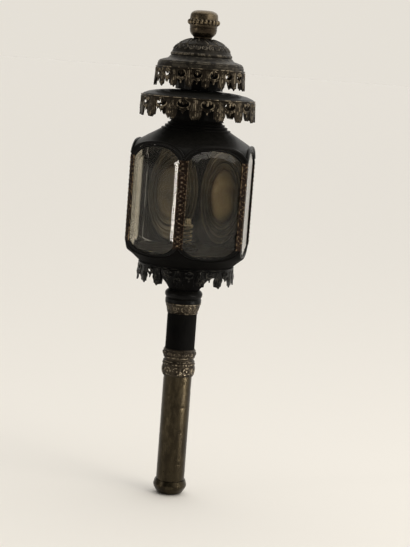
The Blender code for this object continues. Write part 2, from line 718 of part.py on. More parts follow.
def hinge_half(name, z0, z1, leaf_u0, leaf_u1, leaf_d0, parent=None):
    """A hinge leaf with a bored knuckle on the door's axis."""
    barrel = [(HINGE_BARREL_R, z0), (HINGE_BARREL_R, z1), (HINGE_BORE_R, z1), (HINGE_BORE_R, z0)]
    bm = spun(barrel, SMALL_STEPS)
    centre = face_point(door_face, hinge_u, hinge_dist, 0.0)
    bmesh.ops.translate(bm, verts=bm.verts, vec=centre)
    leaf_d1 = hinge_dist - HINGE_BORE_R - HINGE_LEAF_EASE / 2
    leaf = face_box(door_face, leaf_u0, leaf_u1, leaf_d0, leaf_d1, z0 + HINGE_LEAF_EASE, z1 - HINGE_LEAF_EASE)
    half = mesh_object(name, bm, "black_japan", parent)
    plate = mesh_object(name + "_leaf", leaf, "black_japan")
    plate.hide_render = True
    plate.display_type = "WIRE"
    joint = half.modifiers.new("leaf", "BOOLEAN")
    joint.operation = "UNION"
    joint.object = plate
    return half


for label, offset in zip(("lower", "upper"), HINGE_OFFSETS):
    middle = REFLECTOR_Z + offset
    top = middle + HINGE_KNUCKLE_H
    bottom = middle - HINGE_KNUCKLE_H
    hinge_half(f"hinge_jamb_{label}", bottom, middle - GAP, hinge_u, hinge_u + HINGE_LEAF_W,
               FACE_DIST + GAP + STRIP_THICK + GAP)
    hinge_half(f"hinge_door_{label}", middle, top, hinge_u - HINGE_LEAF_W, hinge_u,
               FACE_DIST + GAP, hinge_axis)
    head = top + HINGE_PIN_HEAD
    pin = spun([(0.0, head), (HINGE_BARREL_R, head), (HINGE_BARREL_R, top + GAP), (HINGE_PIN_R, top + GAP),
                (HINGE_PIN_R, bottom), (0.0, bottom)], SMALL_STEPS, closed=False)
    bmesh.ops.translate(pin, verts=pin.verts, vec=face_point(door_face, hinge_u, hinge_dist, 0.0))
    mesh_object(f"hinge_pin_{label}", pin, "aged_brass")

knob = spun(shares_of(
    KNOB_R, 0.0, KNOB_STAND, (0.0, 1.0), (0.6, 1.0), (1.0, 0.75), (1.0, 0.55), (0.45, 0.35), (0.45, 0.12),
    (0.8, 0.0), (0.0, 0.0)), SMALL_STEPS, closed=False)
out = face_point(door_face, 0.0, 1.0, 0.0)
turn = Vector((0.0, 0.0, 1.0)).rotation_difference(out).to_matrix().to_4x4()
spot = face_point(door_face, -door_half + KNOB_INSET, FACE_DIST + GAP, REFLECTOR_Z)
bmesh.ops.transform(knob, matrix=Matrix.Translation(spot) @ turn, verts=knob.verts)
mesh_object("door_knob", knob, "aged_brass", hinge_axis)

# Chimney stack: throat, lower canopy, drum, upper canopy, dome and finial
canopy_z = LOWER_CANOPY_RIM_Z
canopy_top_z = canopy_z + LOWER_CANOPY_H


def lower_canopy_line():
    """The canopy's upper side, from the drum out to the rim, as shares of its reach and height."""
    reach = LOWER_CANOPY_R - SMOKE_HOLE_R
    return [(SMOKE_HOLE_R + reach * share, canopy_z + LOWER_CANOPY_H * rise)
            for share, rise in ((0.0, 1.0), (0.45, 0.88), (0.78, 0.64), (0.93, 0.40), (1.0, 0.17))]


CANOPY_LINE = lower_canopy_line()
canopy_under = [(r, z - CANOPY_SHEET) for r, z in CANOPY_LINE]
throat_foot_z = ROOF_LINE[0][1] + GAP
throat_top_z = curve_height(canopy_under, THROAT_R) - GAP
turned("throat", [
    (THROAT_R + THROAT_FLARE, throat_foot_z), (THROAT_R, throat_foot_z + THROAT_FLARE_H),
    (THROAT_R, throat_top_z), (THROAT_R - SHEET, throat_top_z), (THROAT_R - SHEET, throat_foot_z),
], "black_japan")
turned("lower_canopy", CANOPY_LINE + [(LOWER_CANOPY_R, canopy_z), (LOWER_CANOPY_R - SHEET, canopy_z)]
       + [(min(r, LOWER_CANOPY_R - SHEET), z) for r, z in reversed(canopy_under)], "black_japan")

web_z = UPPER_CANOPY_RIM_Z + UPPER_WEB_RISE
drum_foot_z = canopy_top_z + GAP
drum_h = web_z - GAP - drum_foot_z
vent = half_hole(-0.5 * drum_h, 0.24, 0.3 * drum_h)
vent_cell = [(0.0, 0.0), (0.5, 0.0)] + vent + [(0.5, -drum_h), (0.0, -drum_h)]
pierced_ring("vent_drum", vent_cell, DRUM_R - GALLERY_THICK, 0.0, web_z - GAP, DRUM_VENTS, "black_japan")

upper_rim_z = UPPER_CANOPY_RIM_Z
upper_top_z = upper_rim_z + UPPER_CANOPY_H
ovolo = []
for share, rise in UPPER_CANOPY_SHARES:
    ovolo.append((DOME_R + (UPPER_CANOPY_R - DOME_R) * share, upper_rim_z + UPPER_CANOPY_H * rise))
ovolo_under = [(r - SHEET, z - SHEET) for r, z in ovolo[1:4]]
turned("upper_canopy", [
    (SMOKE_HOLE_R, web_z), (SMOKE_HOLE_R, web_z + SHEET), (DOME_R - SHEET, web_z + SHEET),
    (DOME_R - SHEET, upper_top_z)] + list(reversed(ovolo)) + [
    (UPPER_CANOPY_R, upper_rim_z), (UPPER_CANOPY_R - SHEET, upper_rim_z)] + ovolo_under + [
    (DOME_R + SHEET, web_z),
], "black_japan")

dome_z = upper_top_z + GAP
dome_top_z = dome_z + DOME_H
dome_outer = []
for i in range(6):
    turn_angle = math.radians(90.0 * i / 5)
    dome_outer.append((STUD_HOLE_R + (DOME_R - STUD_HOLE_R) * math.sin(turn_angle) ** 0.9,
                       dome_z + DOME_H * math.cos(turn_angle) ** 1.1))
dome_inner = []
for r, z in reversed(dome_outer):
    dome_inner.append((STUD_HOLE_R + (r - STUD_HOLE_R) * (1.0 - DOME_WALL / (DOME_R - STUD_HOLE_R)),
                       dome_z + (z - dome_z) * (1.0 - DOME_WALL / DOME_H)))
turned("dome_cap", dome_outer + dome_inner, "black_japan")

finial_z = dome_top_z + GAP
finial_bore_r = STUD_R + GAP
turned("finial", shares_of(
    FINIAL_FLANGE_R, finial_z, FINIAL_H, (0.0, 1.0), (0.52, 1.0), (0.74, 0.92), (0.86, 0.78), (0.86, 0.68),
    (1.0, 0.62), (1.0, 0.52), (0.86, 0.45), (0.84, 0.33), (0.78, 0.16), (0.48, 0.03), (0.48, 0.0)) + [
    (finial_bore_r, finial_z), (finial_bore_r, finial_z + STUD_ABOVE + GAP),
    (0.0, finial_z + STUD_ABOVE + GAP),
], "aged_brass", steps=STEM_STEPS, closed=False)
nut_top_z = curve_height(dome_inner[::-1], NUT_HALF_W / math.cos(SIXTH / 2)) - GAP
turned("finial_stud", [
    (0.0, finial_z + STUD_ABOVE), (STUD_R, finial_z + STUD_ABOVE), (STUD_R, nut_top_z - STUD_BELOW),
    (0.0, nut_top_z - STUD_BELOW),
], "tinned_steel", steps=SMALL_STEPS, closed=False)
hexagon_plate("finial_nut", NUT_HALF_W, STUD_R + GAP, nut_top_z - NUT_H, nut_top_z, "tinned_steel")

# Pierced galleries
lower_cell = gallery_cell(LOWER_GALLERY_H, GALLERY_BAND, 0.30, LOWER_OVAL_HALF_H, GALLERY_RING_W, 0.24)
pierced_ring("lower_gallery", lower_cell, LOWER_CANOPY_R + GAP, LOWER_GALLERY_FLARE, canopy_z + GALLERY_LAP,
             LOWER_GALLERY_REPEATS, "bronze_gallery")
upper_cell = gallery_cell(UPPER_GALLERY_H, GALLERY_BAND, 0.31, UPPER_OVAL_HALF_H, GALLERY_RING_W, 0.20)
pierced_ring("upper_gallery", upper_cell, UPPER_CANOPY_R + GAP, UPPER_GALLERY_FLARE,
             upper_rim_z + GALLERY_LAP, UPPER_GALLERY_REPEATS, "bronze_gallery")
base_cell = gallery_cell(BASE_GALLERY_H, GALLERY_BAND, 0.29, BASE_OVAL_HALF_H, GALLERY_RING_W, 0.20)
base_gallery_z = curve_height(BASE_LINE, BASE_GALLERY_R) - SHEET
pierced_ring("base_gallery", base_cell, BASE_GALLERY_R - GALLERY_THICK, 0.0, base_gallery_z,
             BASE_GALLERY_REPEATS, "black_japan")
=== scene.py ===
# %% [markdown]
# This script dresses a candle carriage lamp: a six-sided glazed lantern on a long stem, once held in the
# iron of a horse-drawn carriage. The solids of the lamp come in first as a fixed frame. They could be
# painted as they are, but stamped and turned metal has finer form than they carry, so most visible solids
# get a richer piece in the same place.

# %% Load the frame
import math

import bmesh
import bpy
from mathutils import Matrix, Vector


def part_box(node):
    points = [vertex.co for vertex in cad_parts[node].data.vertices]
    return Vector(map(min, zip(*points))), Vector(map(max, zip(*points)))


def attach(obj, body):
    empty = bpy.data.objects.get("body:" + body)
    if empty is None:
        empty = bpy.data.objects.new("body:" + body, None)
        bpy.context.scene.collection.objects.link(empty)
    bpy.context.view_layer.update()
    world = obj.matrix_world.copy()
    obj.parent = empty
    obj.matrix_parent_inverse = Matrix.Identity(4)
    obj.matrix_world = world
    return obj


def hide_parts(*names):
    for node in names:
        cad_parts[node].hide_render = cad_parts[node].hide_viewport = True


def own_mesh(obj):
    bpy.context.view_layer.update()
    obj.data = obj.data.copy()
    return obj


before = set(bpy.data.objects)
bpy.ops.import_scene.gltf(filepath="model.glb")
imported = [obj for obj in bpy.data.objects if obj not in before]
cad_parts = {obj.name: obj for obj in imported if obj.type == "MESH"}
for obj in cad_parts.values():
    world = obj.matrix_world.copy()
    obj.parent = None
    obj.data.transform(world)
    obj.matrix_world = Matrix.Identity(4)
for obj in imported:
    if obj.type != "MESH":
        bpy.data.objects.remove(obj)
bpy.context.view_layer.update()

MM = 0.001

# %% [markdown]
# The camera stands where the photograph was taken: two metres off, a little to the right of the front
# corner and as high as the upper canopy, looking down and held slightly askew. It could be aimed by eye.
# Here its place is written as a bearing, a distance and a height, and its direction as three angles, so
# that each can be corrected by itself.

# %% Camera
IMAGE_H = 547
FOCAL_PIXELS = 1525.0
SENSOR_HEIGHT = 36.0
CLIP_START = 0.05
CAMERA_BEARING = math.radians(8.3)
CAMERA_DISTANCE = 1.993
CAMERA_HEIGHT = 0.5725
CAMERA_PITCH = math.radians(7.81)
CAMERA_YAW = math.radians(0.74)
CAMERA_ROLL = math.radians(4.25)


def photo_camera():
    """A camera at the photograph's place, with its focal length in pixels turned into millimetres."""
    data = bpy.data.cameras.new("photo_camera")
    data.sensor_fit = "VERTICAL"
    data.sensor_height = SENSOR_HEIGHT
    data.lens = FOCAL_PIXELS * SENSOR_HEIGHT / IMAGE_H
    data.clip_start = CLIP_START
    level = Vector((-math.sin(CAMERA_BEARING), math.cos(CAMERA_BEARING), 0.0))
    right = Vector((math.cos(CAMERA_BEARING), math.sin(CAMERA_BEARING), 0.0))
    ahead = level * math.cos(CAMERA_PITCH) - Vector((0.0, 0.0, math.sin(CAMERA_PITCH)))
    up = right.cross(ahead)
    aim = ahead * math.cos(CAMERA_YAW) + right * math.sin(CAMERA_YAW)
    side = right * math.cos(CAMERA_YAW) - ahead * math.sin(CAMERA_YAW)
    rolled_side = side * math.cos(CAMERA_ROLL) + up * math.sin(CAMERA_ROLL)
    rolled_up = up * math.cos(CAMERA_ROLL) - side * math.sin(CAMERA_ROLL)
    turn = Matrix((rolled_side, rolled_up, -aim)).transposed().to_4x4()
    camera = bpy.data.objects.new("photo_camera", data)
    bpy.context.collection.objects.link(camera)
    place = Vector((0.0, 0.0, CAMERA_HEIGHT)) - level * CAMERA_DISTANCE
    camera.matrix_world = Matrix.Translation(place) @ turn
    bpy.context.scene.camera = camera
    return camera


camera = photo_camera()
print("camera at", [round(value, 3) for value in camera.matrix_world.translation])

# %% [markdown]
# The stage is a pale floor that runs from just behind the camera to far behind the lamp, under a sky that
# is as pale to look at, so that from the front hardly a line shows where they meet. As a light the same sky
# is bright on the window side and dim opposite, which keeps black lacquer black from the front and gives
# its edges a sheen. Small bright lights would give hard spots on the glass, so the rest is soft: a wide
# daylight from above, and panels for the panes, their bevels and the stem to mirror, as they would a window
# or a door.

# %% Node helpers


def set_inputs(tree, node, inputs):
    """Set each input of a node to a value, or link it to a socket."""
    for name, value in inputs.items():
        if isinstance(value, bpy.types.NodeSocket):
            tree.links.new(value, node.inputs[name])
        else:
            node.inputs[name].default_value = value


def add_node(tree, kind, inputs=None, **settings):
    """One node of a kind, with its settings and its inputs."""
    made = tree.nodes.new(kind)
    for name, value in settings.items():
        setattr(made, name, value)
    set_inputs(tree, made, inputs or {})
    return made


def between(tree, value, low, high, to_low=0.0, to_high=1.0):
    """A value's place between two levels, clamped."""
    return add_node(tree, "ShaderNodeMapRange", {"Value": value, "From Min": low, "From Max": high,
                                                 "To Min": to_low, "To Max": to_high}).outputs["Result"]


def ramp(tree, factor, *stops):
    """A colour ramp through (place, colour) stops."""
    made = add_node(tree, "ShaderNodeValToRGB", {"Fac": factor})
    elements = made.color_ramp.elements
    while len(elements) < len(stops):
        elements.new(0.5)
    for element, (place, colour) in zip(elements, stops):
        element.position = place
        element.color = (*colour, 1.0)
    return made.outputs["Color"]


def mixed(tree, share, first, second):
    """Two colours mixed by a share that varies over the surface."""
    sides = [side if isinstance(side, bpy.types.NodeSocket) else (*side, 1.0) for side in (first, second)]
    made = add_node(tree, "ShaderNodeMix", {0: share, 6: sides[0], 7: sides[1]}, data_type="RGBA")
    return made.outputs[2]


print("node helpers ready")

# %% Stage and light
FLOOR_REACH = 60.0
FLOOR_FRONT = -2.3
FLOOR_DROP = 0.5 * MM
FLOOR_WHITE = (0.86, 0.83, 0.78, 1.0)
FLOOR_ROUGHNESS = 0.9
SKY_PALE = (0.785, 0.746, 0.677)
SKY_LIGHT = ((0.30, (0.05, 0.05, 0.05)), (0.60, (0.36, 0.35, 0.33)), (0.78, (0.80, 0.77, 0.71)),
             (1.0, (0.94, 0.91, 0.86)))
WINDOW_SIDE = Vector((0.40, 0.75, 0.52)).normalized()
DAYLIGHT_FALL = (-0.15, -0.35, -1.0)
DAYLIGHT_SPREAD = math.radians(100.0)
DAYLIGHT_STRENGTH = 1.15
PANEL_WARM = (1.0, 0.95, 0.86)


def pale_sky():
    """A world that lights from the window side and is dim opposite, and looks evenly pale to the camera."""
    world = bpy.data.worlds.new("pale_sky")
    world.use_nodes = True
    tree = world.node_tree
    where = add_node(tree, "ShaderNodeTexCoord").outputs["Generated"]
    towards = add_node(tree, "ShaderNodeVectorMath", {0: where, 1: WINDOW_SIDE}, operation="DOT_PRODUCT")
    light = ramp(tree, between(tree, towards.outputs["Value"], -1.0, 1.0), *SKY_LIGHT)
    looked_at = add_node(tree, "ShaderNodeLightPath").outputs["Is Camera Ray"]
    colour = mixed(tree, looked_at, light, SKY_PALE)
    set_inputs(tree, tree.nodes["Background"], {"Color": colour, "Strength": 1.0})
    bpy.context.scene.world = world


def pale_floor():
    """A flat floor of matt off-white, from just behind the camera to far behind the lamp."""
    bm = bmesh.new()
    bmesh.ops.create_grid(bm, x_segments=1, y_segments=1, size=FLOOR_REACH)
    bmesh.ops.translate(bm, verts=bm.verts, vec=(0.0, FLOOR_REACH + FLOOR_FRONT, -FLOOR_DROP))
    mesh = bpy.data.meshes.new("pale_floor")
    bm.to_mesh(mesh)
    bm.free()
    material = bpy.data.materials.new("floor_white")
    material.use_nodes = True
    tree = material.node_tree
    set_inputs(tree, tree.nodes["Principled BSDF"],
               {"Base Color": FLOOR_WHITE, "Roughness": FLOOR_ROUGHNESS})
    mesh.materials.append(material)
    floor = bpy.data.objects.new("pale_floor", mesh)
    bpy.context.collection.objects.link(floor)


def soft_light(name, kind, towards, place=(0.0, 0.0, 0.0), **settings):
    """A light of a kind that faces along a direction; settings are those of its data."""
    data = bpy.data.lights.new(name, kind)
    for key, value in settings.items():
        setattr(data, key, value)
    light = bpy.data.objects.new(name, data)
    light.location = place
    light.rotation_euler = Vector(towards).to_track_quat("-Z", "Y").to_euler()
    bpy.context.collection.objects.link(light)
    return light


def soft_panel(name, place, target, width, height, watts, spread=180.0):
    """A soft rectangle of light that faces a target, with its spread in degrees, unseen by the camera."""
    light = soft_light(name, "AREA", Vector(target) - Vector(place), place, shape="RECTANGLE", size=width,
                       size_y=height, energy=watts, spread=math.radians(spread), color=PANEL_WARM)
    light.visible_camera = False


pale_sky()
pale_floor()
soft_light("ceiling_light", "SUN", DAYLIGHT_FALL, angle=DAYLIGHT_SPREAD, energy=DAYLIGHT_STRENGTH)
soft_panel("window_panel", (2.0, -0.8, 1.7), (0.0, 0.0, 0.4), 1.2, 1.2, 12.0)
soft_panel("doorway_panel", (-2.11, -1.46, 0.32), (0.0, 0.0, 0.4), 0.14, 0.62, 1.1, spread=60.0)
soft_panel("screen_panel", (1.75, -1.42, 0.92), (0.0, 0.0, 0.45), 1.0, 0.5, 4.5)
soft_panel("low_panel", (1.54, -0.45, 0.09), (0.0, 0.0, 0.16), 0.24, 0.14, 0.13, spread=12.0)
bpy.context.scene.view_settings.view_transform = "Standard"
print("stage ready, floor", 2 * FLOOR_REACH, "m wide")

# %% [markdown]
# Finishes come next. Old lacquer and brass are never one colour: lacquer dulls with dust on upward faces,
# here lighter than dust alone so that it paints a sheen too, and chips to brown in small spots, and stamped
# brass stays dark in its hollows and rubs bright on its ridges. The metal finishes read a named attribute,
# relief, which every ornamented piece carries from 0 in its hollows to 1 on its ridges, so dirt and polish
# fall where hands and cloths could reach.

# %% Finish helpers
EVEN = (1.0, 1.0, 1.0)


def start_finish(name):
    """A material, its node tree, its shader and the piece's own coordinates."""
    material = bpy.data.materials.new(name)
    material.use_nodes = True
    tree = material.node_tree
    where = add_node(tree, "ShaderNodeTexCoord").outputs["Object"]
    return material, tree, tree.nodes["Principled BSDF"], where


def grain(tree, where, scale, detail=4.0, roughness=0.55, stretch=EVEN):
    """Fractal noise on the piece's own coordinates, in features per metre, stretched where asked."""
    placed = add_node(tree, "ShaderNodeMapping", {"Vector": where, "Scale": stretch}).outputs["Vector"]
    return add_node(tree, "ShaderNodeTexNoise", {"Vector": placed, "Scale": scale, "Detail": detail,
                                                 "Roughness": roughness}).outputs["Fac"]


def times(tree, first, second):
    """The product of two values."""
    return add_node(tree, "ShaderNodeMath", {0: first, 1: second}, operation="MULTIPLY").outputs["Value"]


def facing_up(tree):
    """0 on walls and undersides, 1 on level tops."""
    normal = add_node(tree, "ShaderNodeNewGeometry").outputs["Normal"]
    height = add_node(tree, "ShaderNodeSeparateXYZ", {"Vector": normal}).outputs["Z"]
    return between(tree, height, 0.15, 0.95)


def ridge(tree):
    """The relief carried by the piece, 0 in hollows and 1 on ridges."""
    return add_node(tree, "ShaderNodeAttribute", attribute_name="relief").outputs["Fac"]


def emboss(tree, shader, height, strength, distance):
    """A fine roughness of the surface, too small to model."""
    bump = add_node(tree, "ShaderNodeBump", {"Height": height, "Strength": strength, "Distance": distance})
    tree.links.new(bump.outputs["Normal"], shader.inputs["Normal"])


print("finish helpers ready")

# %% [markdown]
# Japanning is a baked black lacquer over tin or brass. A plain black would look like plastic, so this one
# is layered: a brown-black ground, dust on what faces up, small brown chips, and a gloss that is broken by
# a fine grain. The dust is lighter than dust alone, so on upward faces it is partly a painted sheen. The
# stem's socket and the bowl are duller than the rest. The patterns are noise on the piece's own
# coordinates, so they stay put in every view.

# %% Black japan
LACQUER_GROUND = ((0.25, (0.0016, 0.0016, 0.0017)), (0.75, (0.0052, 0.0048, 0.0042)))
# Dust colour, lighter than dust alone, so that on upward faces it also paints a sheen
DUST_AND_SHEEN = (0.040, 0.038, 0.033)
CHIP_BROWN = (0.020, 0.013, 0.008)


def black_japan(name, gloss, sheen):
    """Worn lacquer, with the range of its surface's roughness and the strength of its sheen."""
    material, tree, shader, where = start_finish(name)
    cloud = grain(tree, where, 38.0)
    fine = grain(tree, where, 420.0, 6.0, 0.7)
    # Dust on what faces up: partly dust, partly a painted sheen on the tops
    dust_and_sheen = times(tree, facing_up(tree), between(tree, fine, 0.38, 0.72, 0.10, 0.60))
    ground_with_dust_and_sheen = mixed(tree, dust_and_sheen, ramp(tree, cloud, *LACQUER_GROUND), DUST_AND_SHEEN)
    chips = times(tree, between(tree, fine, 0.66, 0.74), between(tree, cloud, 0.45, 0.62))
    set_inputs(tree, shader, {"Base Color": mixed(tree, chips, ground_with_dust_and_sheen, CHIP_BROWN),
                              "Roughness": between(tree, fine, 0.3, 0.75, *gloss),
                              "Specular IOR Level": sheen})
    emboss(tree, shader, grain(tree, where, 240.0, 5.0), 0.22, 0.6 * MM)
    return material


BLACK = black_japan("worn_black_japan", (0.26, 0.50), 0.07)
DULL_BLACK = black_japan("dull_black_japan", (0.62, 0.80), 0.03)
print("lacquers:", BLACK.name, DULL_BLACK.name)

# %% [markdown]
# The metals have aged in different ways: the rubbed grey-brown of the stem, its stamped rings with their
# brighter ridges, the tan finial, the dark bronze of the galleries, blackened under the bowl, the grey dome
# and the red copper tone of the corner strips. They differ in three colours, in gloss, in how far the
# polish reaches down the relief and in how scattered it is, so one function makes all of them.

# %% Aged metals
METALLIC = 0.85
ALONG_STEM = (1.0, 1.0, 0.40)
POLISH_BLEND = 0.28


def aged_metal(name, hollow, middle, high, polish, streak=EVEN, gloss=(0.34, 0.62), flecks=0.0):
    """Stamped metal: hollow, middle and rubbed colours, with the relief level round which polish sets in.

    With flecks, in features per metre, the polish is left in scattered spots only.
    """
    material, tree, shader, where = start_finish(name)
    cloud = grain(tree, where, 55.0, 5.0, 0.6, streak)
    fine = grain(tree, where, 600.0, 5.0, 0.65, streak)
    body = mixed(tree, between(tree, cloud, 0.36, 0.66), hollow, middle)
    worn_ridge = between(tree, ridge(tree), polish - POLISH_BLEND, polish + POLISH_BLEND)
    rubbed_and_highlight = times(tree, worn_ridge, between(tree, fine, 0.30, 0.62))
    if flecks:
        spots = grain(tree, where, flecks, 2.0, 0.5, streak)
        rubbed_and_highlight = times(tree, rubbed_and_highlight, between(tree, spots, 0.47, 0.56))
    set_inputs(tree, shader, {"Base Color": mixed(tree, rubbed_and_highlight, body, high),
                              "Roughness": between(tree, fine, 0.3, 0.7, *gloss), "Metallic": METALLIC})
    emboss(tree, shader, fine, 0.20, 0.4 * MM)
    return material


STEM_BRASS = aged_metal("rubbed_stem_brass", (0.019, 0.0138, 0.0070), (0.036, 0.0272, 0.0142),
                        (0.088, 0.070, 0.041), 0.60, ALONG_STEM, (0.24, 0.42), flecks=160.0)
RING_BRASS = aged_metal("dark_ring_brass", (0.013, 0.0096, 0.0062), (0.050, 0.039, 0.026),
                        (0.42, 0.35, 0.25), 0.66, flecks=250.0)
FINIAL_BRASS = aged_metal("tan_finial_brass", (0.020, 0.0135, 0.0075), (0.074, 0.056, 0.034),
                          (0.28, 0.22, 0.14), 0.64, gloss=(0.24, 0.48))
GALLERY_BRONZE = aged_metal("dark_gallery_bronze", (0.011, 0.0082, 0.005), (0.034, 0.026, 0.017),
                            (0.36, 0.295, 0.205), 0.60, flecks=190.0)
BLACK_BRONZE = aged_metal("black_gallery_bronze", (0.0010, 0.0009, 0.0008), (0.0024, 0.0022, 0.0020),
                          (0.058, 0.055, 0.047), 0.70, gloss=(0.26, 0.46), flecks=210.0)
DOME_BRONZE = aged_metal("grey_dome_bronze", (0.011, 0.0095, 0.0075), (0.036, 0.031, 0.024),
                         (0.20, 0.172, 0.13), 0.60, gloss=(0.42, 0.66), flecks=170.0)
STRIP_COPPER = aged_metal("red_strip_copper", (0.008, 0.0044, 0.0029), (0.019, 0.0098, 0.0060),
                          (0.64, 0.46, 0.27), 0.72, flecks=330.0)
print("metals, last:", STRIP_COPPER.name)

# %% [markdown]
# The panes are old bevelled plate glass: clear, faintly tan, with dust that dulls the gloss in patches.
# The bevels are real slopes in the pane's mesh, because only a slope bends the light as glass does. Glass
# needs thickness too, so each pane is a closed body. The reflectors behind are silvered brass gone tan,
# with thin dark lines among their rings and spots of tarnish. A picture could paint the rings, but here a
# colour ramp runs from the middle outwards on the relief that the dish carries, so it follows the dish's
# own shape. The spring is bright brass wire, and the sheet inside is tin, browned where candle smoke has
# reached it.

# %% Glass, reflector metal, wire and tin
GLASS_HAZE = ((0.3, (0.88, 0.85, 0.77)), (0.8, (0.74, 0.70, 0.60)))
GLASS_IOR = 1.27
GLASS_CLEARNESS = 0.99
REFLECTOR_TONES = (
    (0.0, (0.094, 0.075, 0.047)), (0.26, (0.120, 0.096, 0.060)), (0.50, (0.104, 0.083, 0.052)),
    (0.57, (0.030, 0.023, 0.015)), (0.60, (0.10, 0.082, 0.055)), (0.66, (0.075, 0.063, 0.045)),
    (0.69, (0.20, 0.172, 0.125)), (0.715, (0.026, 0.021, 0.015)), (0.75, (0.12, 0.102, 0.076)),
    (0.83, (0.10, 0.087, 0.066)), (0.86, (0.20, 0.175, 0.135)), (0.89, (0.050, 0.043, 0.033)),
    (1.0, (0.13, 0.115, 0.090)))
REFLECTOR_CLOUD = (0.035, 0.028, 0.019)
REFLECTOR_TARNISH = (0.055, 0.040, 0.026)
WIRE_TONES = ((0.3, (0.26, 0.21, 0.13)), (0.7, (0.58, 0.50, 0.35)))


def pane_glass():
    """Thick old glass with patches of dust."""
    material, tree, shader, where = start_finish("old_plate_glass")
    haze = grain(tree, where, 60.0, 4.0)
    set_inputs(tree, shader, {"Base Color": ramp(tree, haze, *GLASS_HAZE),
                              "Roughness": between(tree, haze, 0.35, 0.75, 0.03, 0.07),
                              "Transmission Weight": GLASS_CLEARNESS, "IOR": GLASS_IOR})
    return material


def reflector_metal():
    """Silvered brass dulled to tan, brightest on two of its rings, with thin dark lines among them and
    spots of tarnish.
    """
    material, tree, shader, where = start_finish("dulled_reflector")
    cloud = grain(tree, where, 45.0, 5.0)
    spots = grain(tree, where, 300.0, 5.0, 0.7)
    rings = ramp(tree, ridge(tree), *REFLECTOR_TONES)
    tone = mixed(tree, between(tree, cloud, 0.35, 0.65, 0.0, 0.60), rings, REFLECTOR_CLOUD)
    tarnish = between(tree, spots, 0.60, 0.75, 0.0, 0.4)
    set_inputs(tree, shader, {"Base Color": mixed(tree, tarnish, tone, REFLECTOR_TARNISH),
                              "Roughness": between(tree, spots, 0.3, 0.7, 0.30, 0.46), "Metallic": 0.95})
    emboss(tree, shader, cloud, 0.10, 1.0 * MM)
    return material


def metal_wire():
    """Brass wire, dulled in fine spots."""
    material, tree, shader, where = start_finish("gilt_wire")
    fine = grain(tree, where, 500.0)
    set_inputs(tree, shader, {"Base Color": ramp(tree, fine, *WIRE_TONES),
                              "Roughness": between(tree, fine, 0.3, 0.7, 0.22, 0.42), "Metallic": 1.0})
    return material


def tinned_sheet(name, dark, light):
    """Dull tin, clouded between a dark and a light tone."""
    material, tree, shader, where = start_finish(name)
    cloud = grain(tree, where, 70.0, 5.0)
    set_inputs(tree, shader, {"Base Color": ramp(tree, cloud, (0.3, dark), (0.75, light)),
                              "Roughness": between(tree, cloud, 0.3, 0.7, 0.38, 0.60), "Metallic": 0.7})
    return material


GLASS = pane_glass()
REFLECTOR = reflector_metal()
WIRE = metal_wire()
TIN = tinned_sheet("dull_tin", (0.06, 0.057, 0.05), (0.17, 0.165, 0.15))
SMOKED_TIN = tinned_sheet("smoked_tin", (0.026, 0.023, 0.017), (0.062, 0.054, 0.040))
print("finishes:", len(bpy.data.materials))

# %% [markdown]
# Each new piece is a skin over rows of points, like hoops under canvas. Blender's own primitives could be
# bent into shape, but rows keep each wall closed and let a formula place every point. A row that shrinks
# to one point closes a tip.

# %% Mesh helpers
SHARP = math.radians(38.0)
ACROSS = Vector((1.0, 0.0, 0.0))
OUT = Vector((0.0, 1.0, 0.0))
UP = Vector((0.0, 0.0, 1.0))


def relief_bmesh():
    """An empty bmesh whose points carry a relief value."""
    bm = bmesh.new()
    return bm, bm.verts.layers.float.new("relief")


def ring_points(middle, first, second, count):
    """Points round a middle, on two half axes."""
    turns = [math.tau * k / count for k in range(count)]
    return [middle + first * math.cos(turn) + second * math.sin(turn) for turn in turns]


def skin(bm, rows):
    """Faces between neighbouring rows of points, where a row is a closed loop or a single point."""
    for low, high in zip(rows, rows[1:]):
        count = max(len(low), len(high))
        for k in range(count if count > 1 else 0):
            j = (k + 1) % count
            corners = (low[k % len(low)], low[j % len(low)], high[j % len(high)], high[k % len(high)])
            bm.faces.new(tuple(dict.fromkeys(corners)))


def finish_mesh(name, bm, sharp=SHARP):
    """A closed bmesh made a mesh, with its faces outwards and smooth except at its sharp edges."""
    bmesh.ops.recalc_face_normals(bm, faces=bm.faces)
    mesh = bpy.data.meshes.new(name)
    bm.to_mesh(mesh)
    bm.free()
    mesh.shade_smooth()
    mesh.set_sharp_from_angle(angle=sharp)
    return mesh


def add_piece(name, mesh, finish, body, slot, *nodes):
    """Place a finished mesh as a piece that rides a body and stands for solids. The slot is not used."""
    mesh.materials.clear()
    mesh.materials.append(finish)
    obj = bpy.data.objects.new(name, mesh)
    bpy.context.collection.objects.link(obj)
    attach(obj, body)
    if nodes:
        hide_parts(*nodes)
    return obj


print("mesh helpers ready, edges sharp from", round(math.degrees(SHARP)), "degrees")

# %% [markdown]
# Most of the lamp is turned or spun sheet. A lathe line of a few points is smoothed and spun, and an
# ornament is raised along the line's normal by a small formula of the angle and the place along the line.
# That gives true relief that catches light in the outline, which a painted bump can't.

# %% Lathe helpers
TURN_STEPS = 96
ON_AXIS = 1e-6
PLAIN_LEVEL = 0.5


def spread_line(inner, outer, foot, rise, shares):
    """(radius, height) points from shares of the way out between two radii and of a rise over a foot."""
    return [(inner + (outer - inner) * out, foot + rise * up) for out, up in shares]


def node_shares(node, *shares):
    """(radius, height) points from shares of a solid's outer radius and of its height."""
    low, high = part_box(node)
    return spread_line(0.0, high.x, low.z, high.z - low.z, shares)


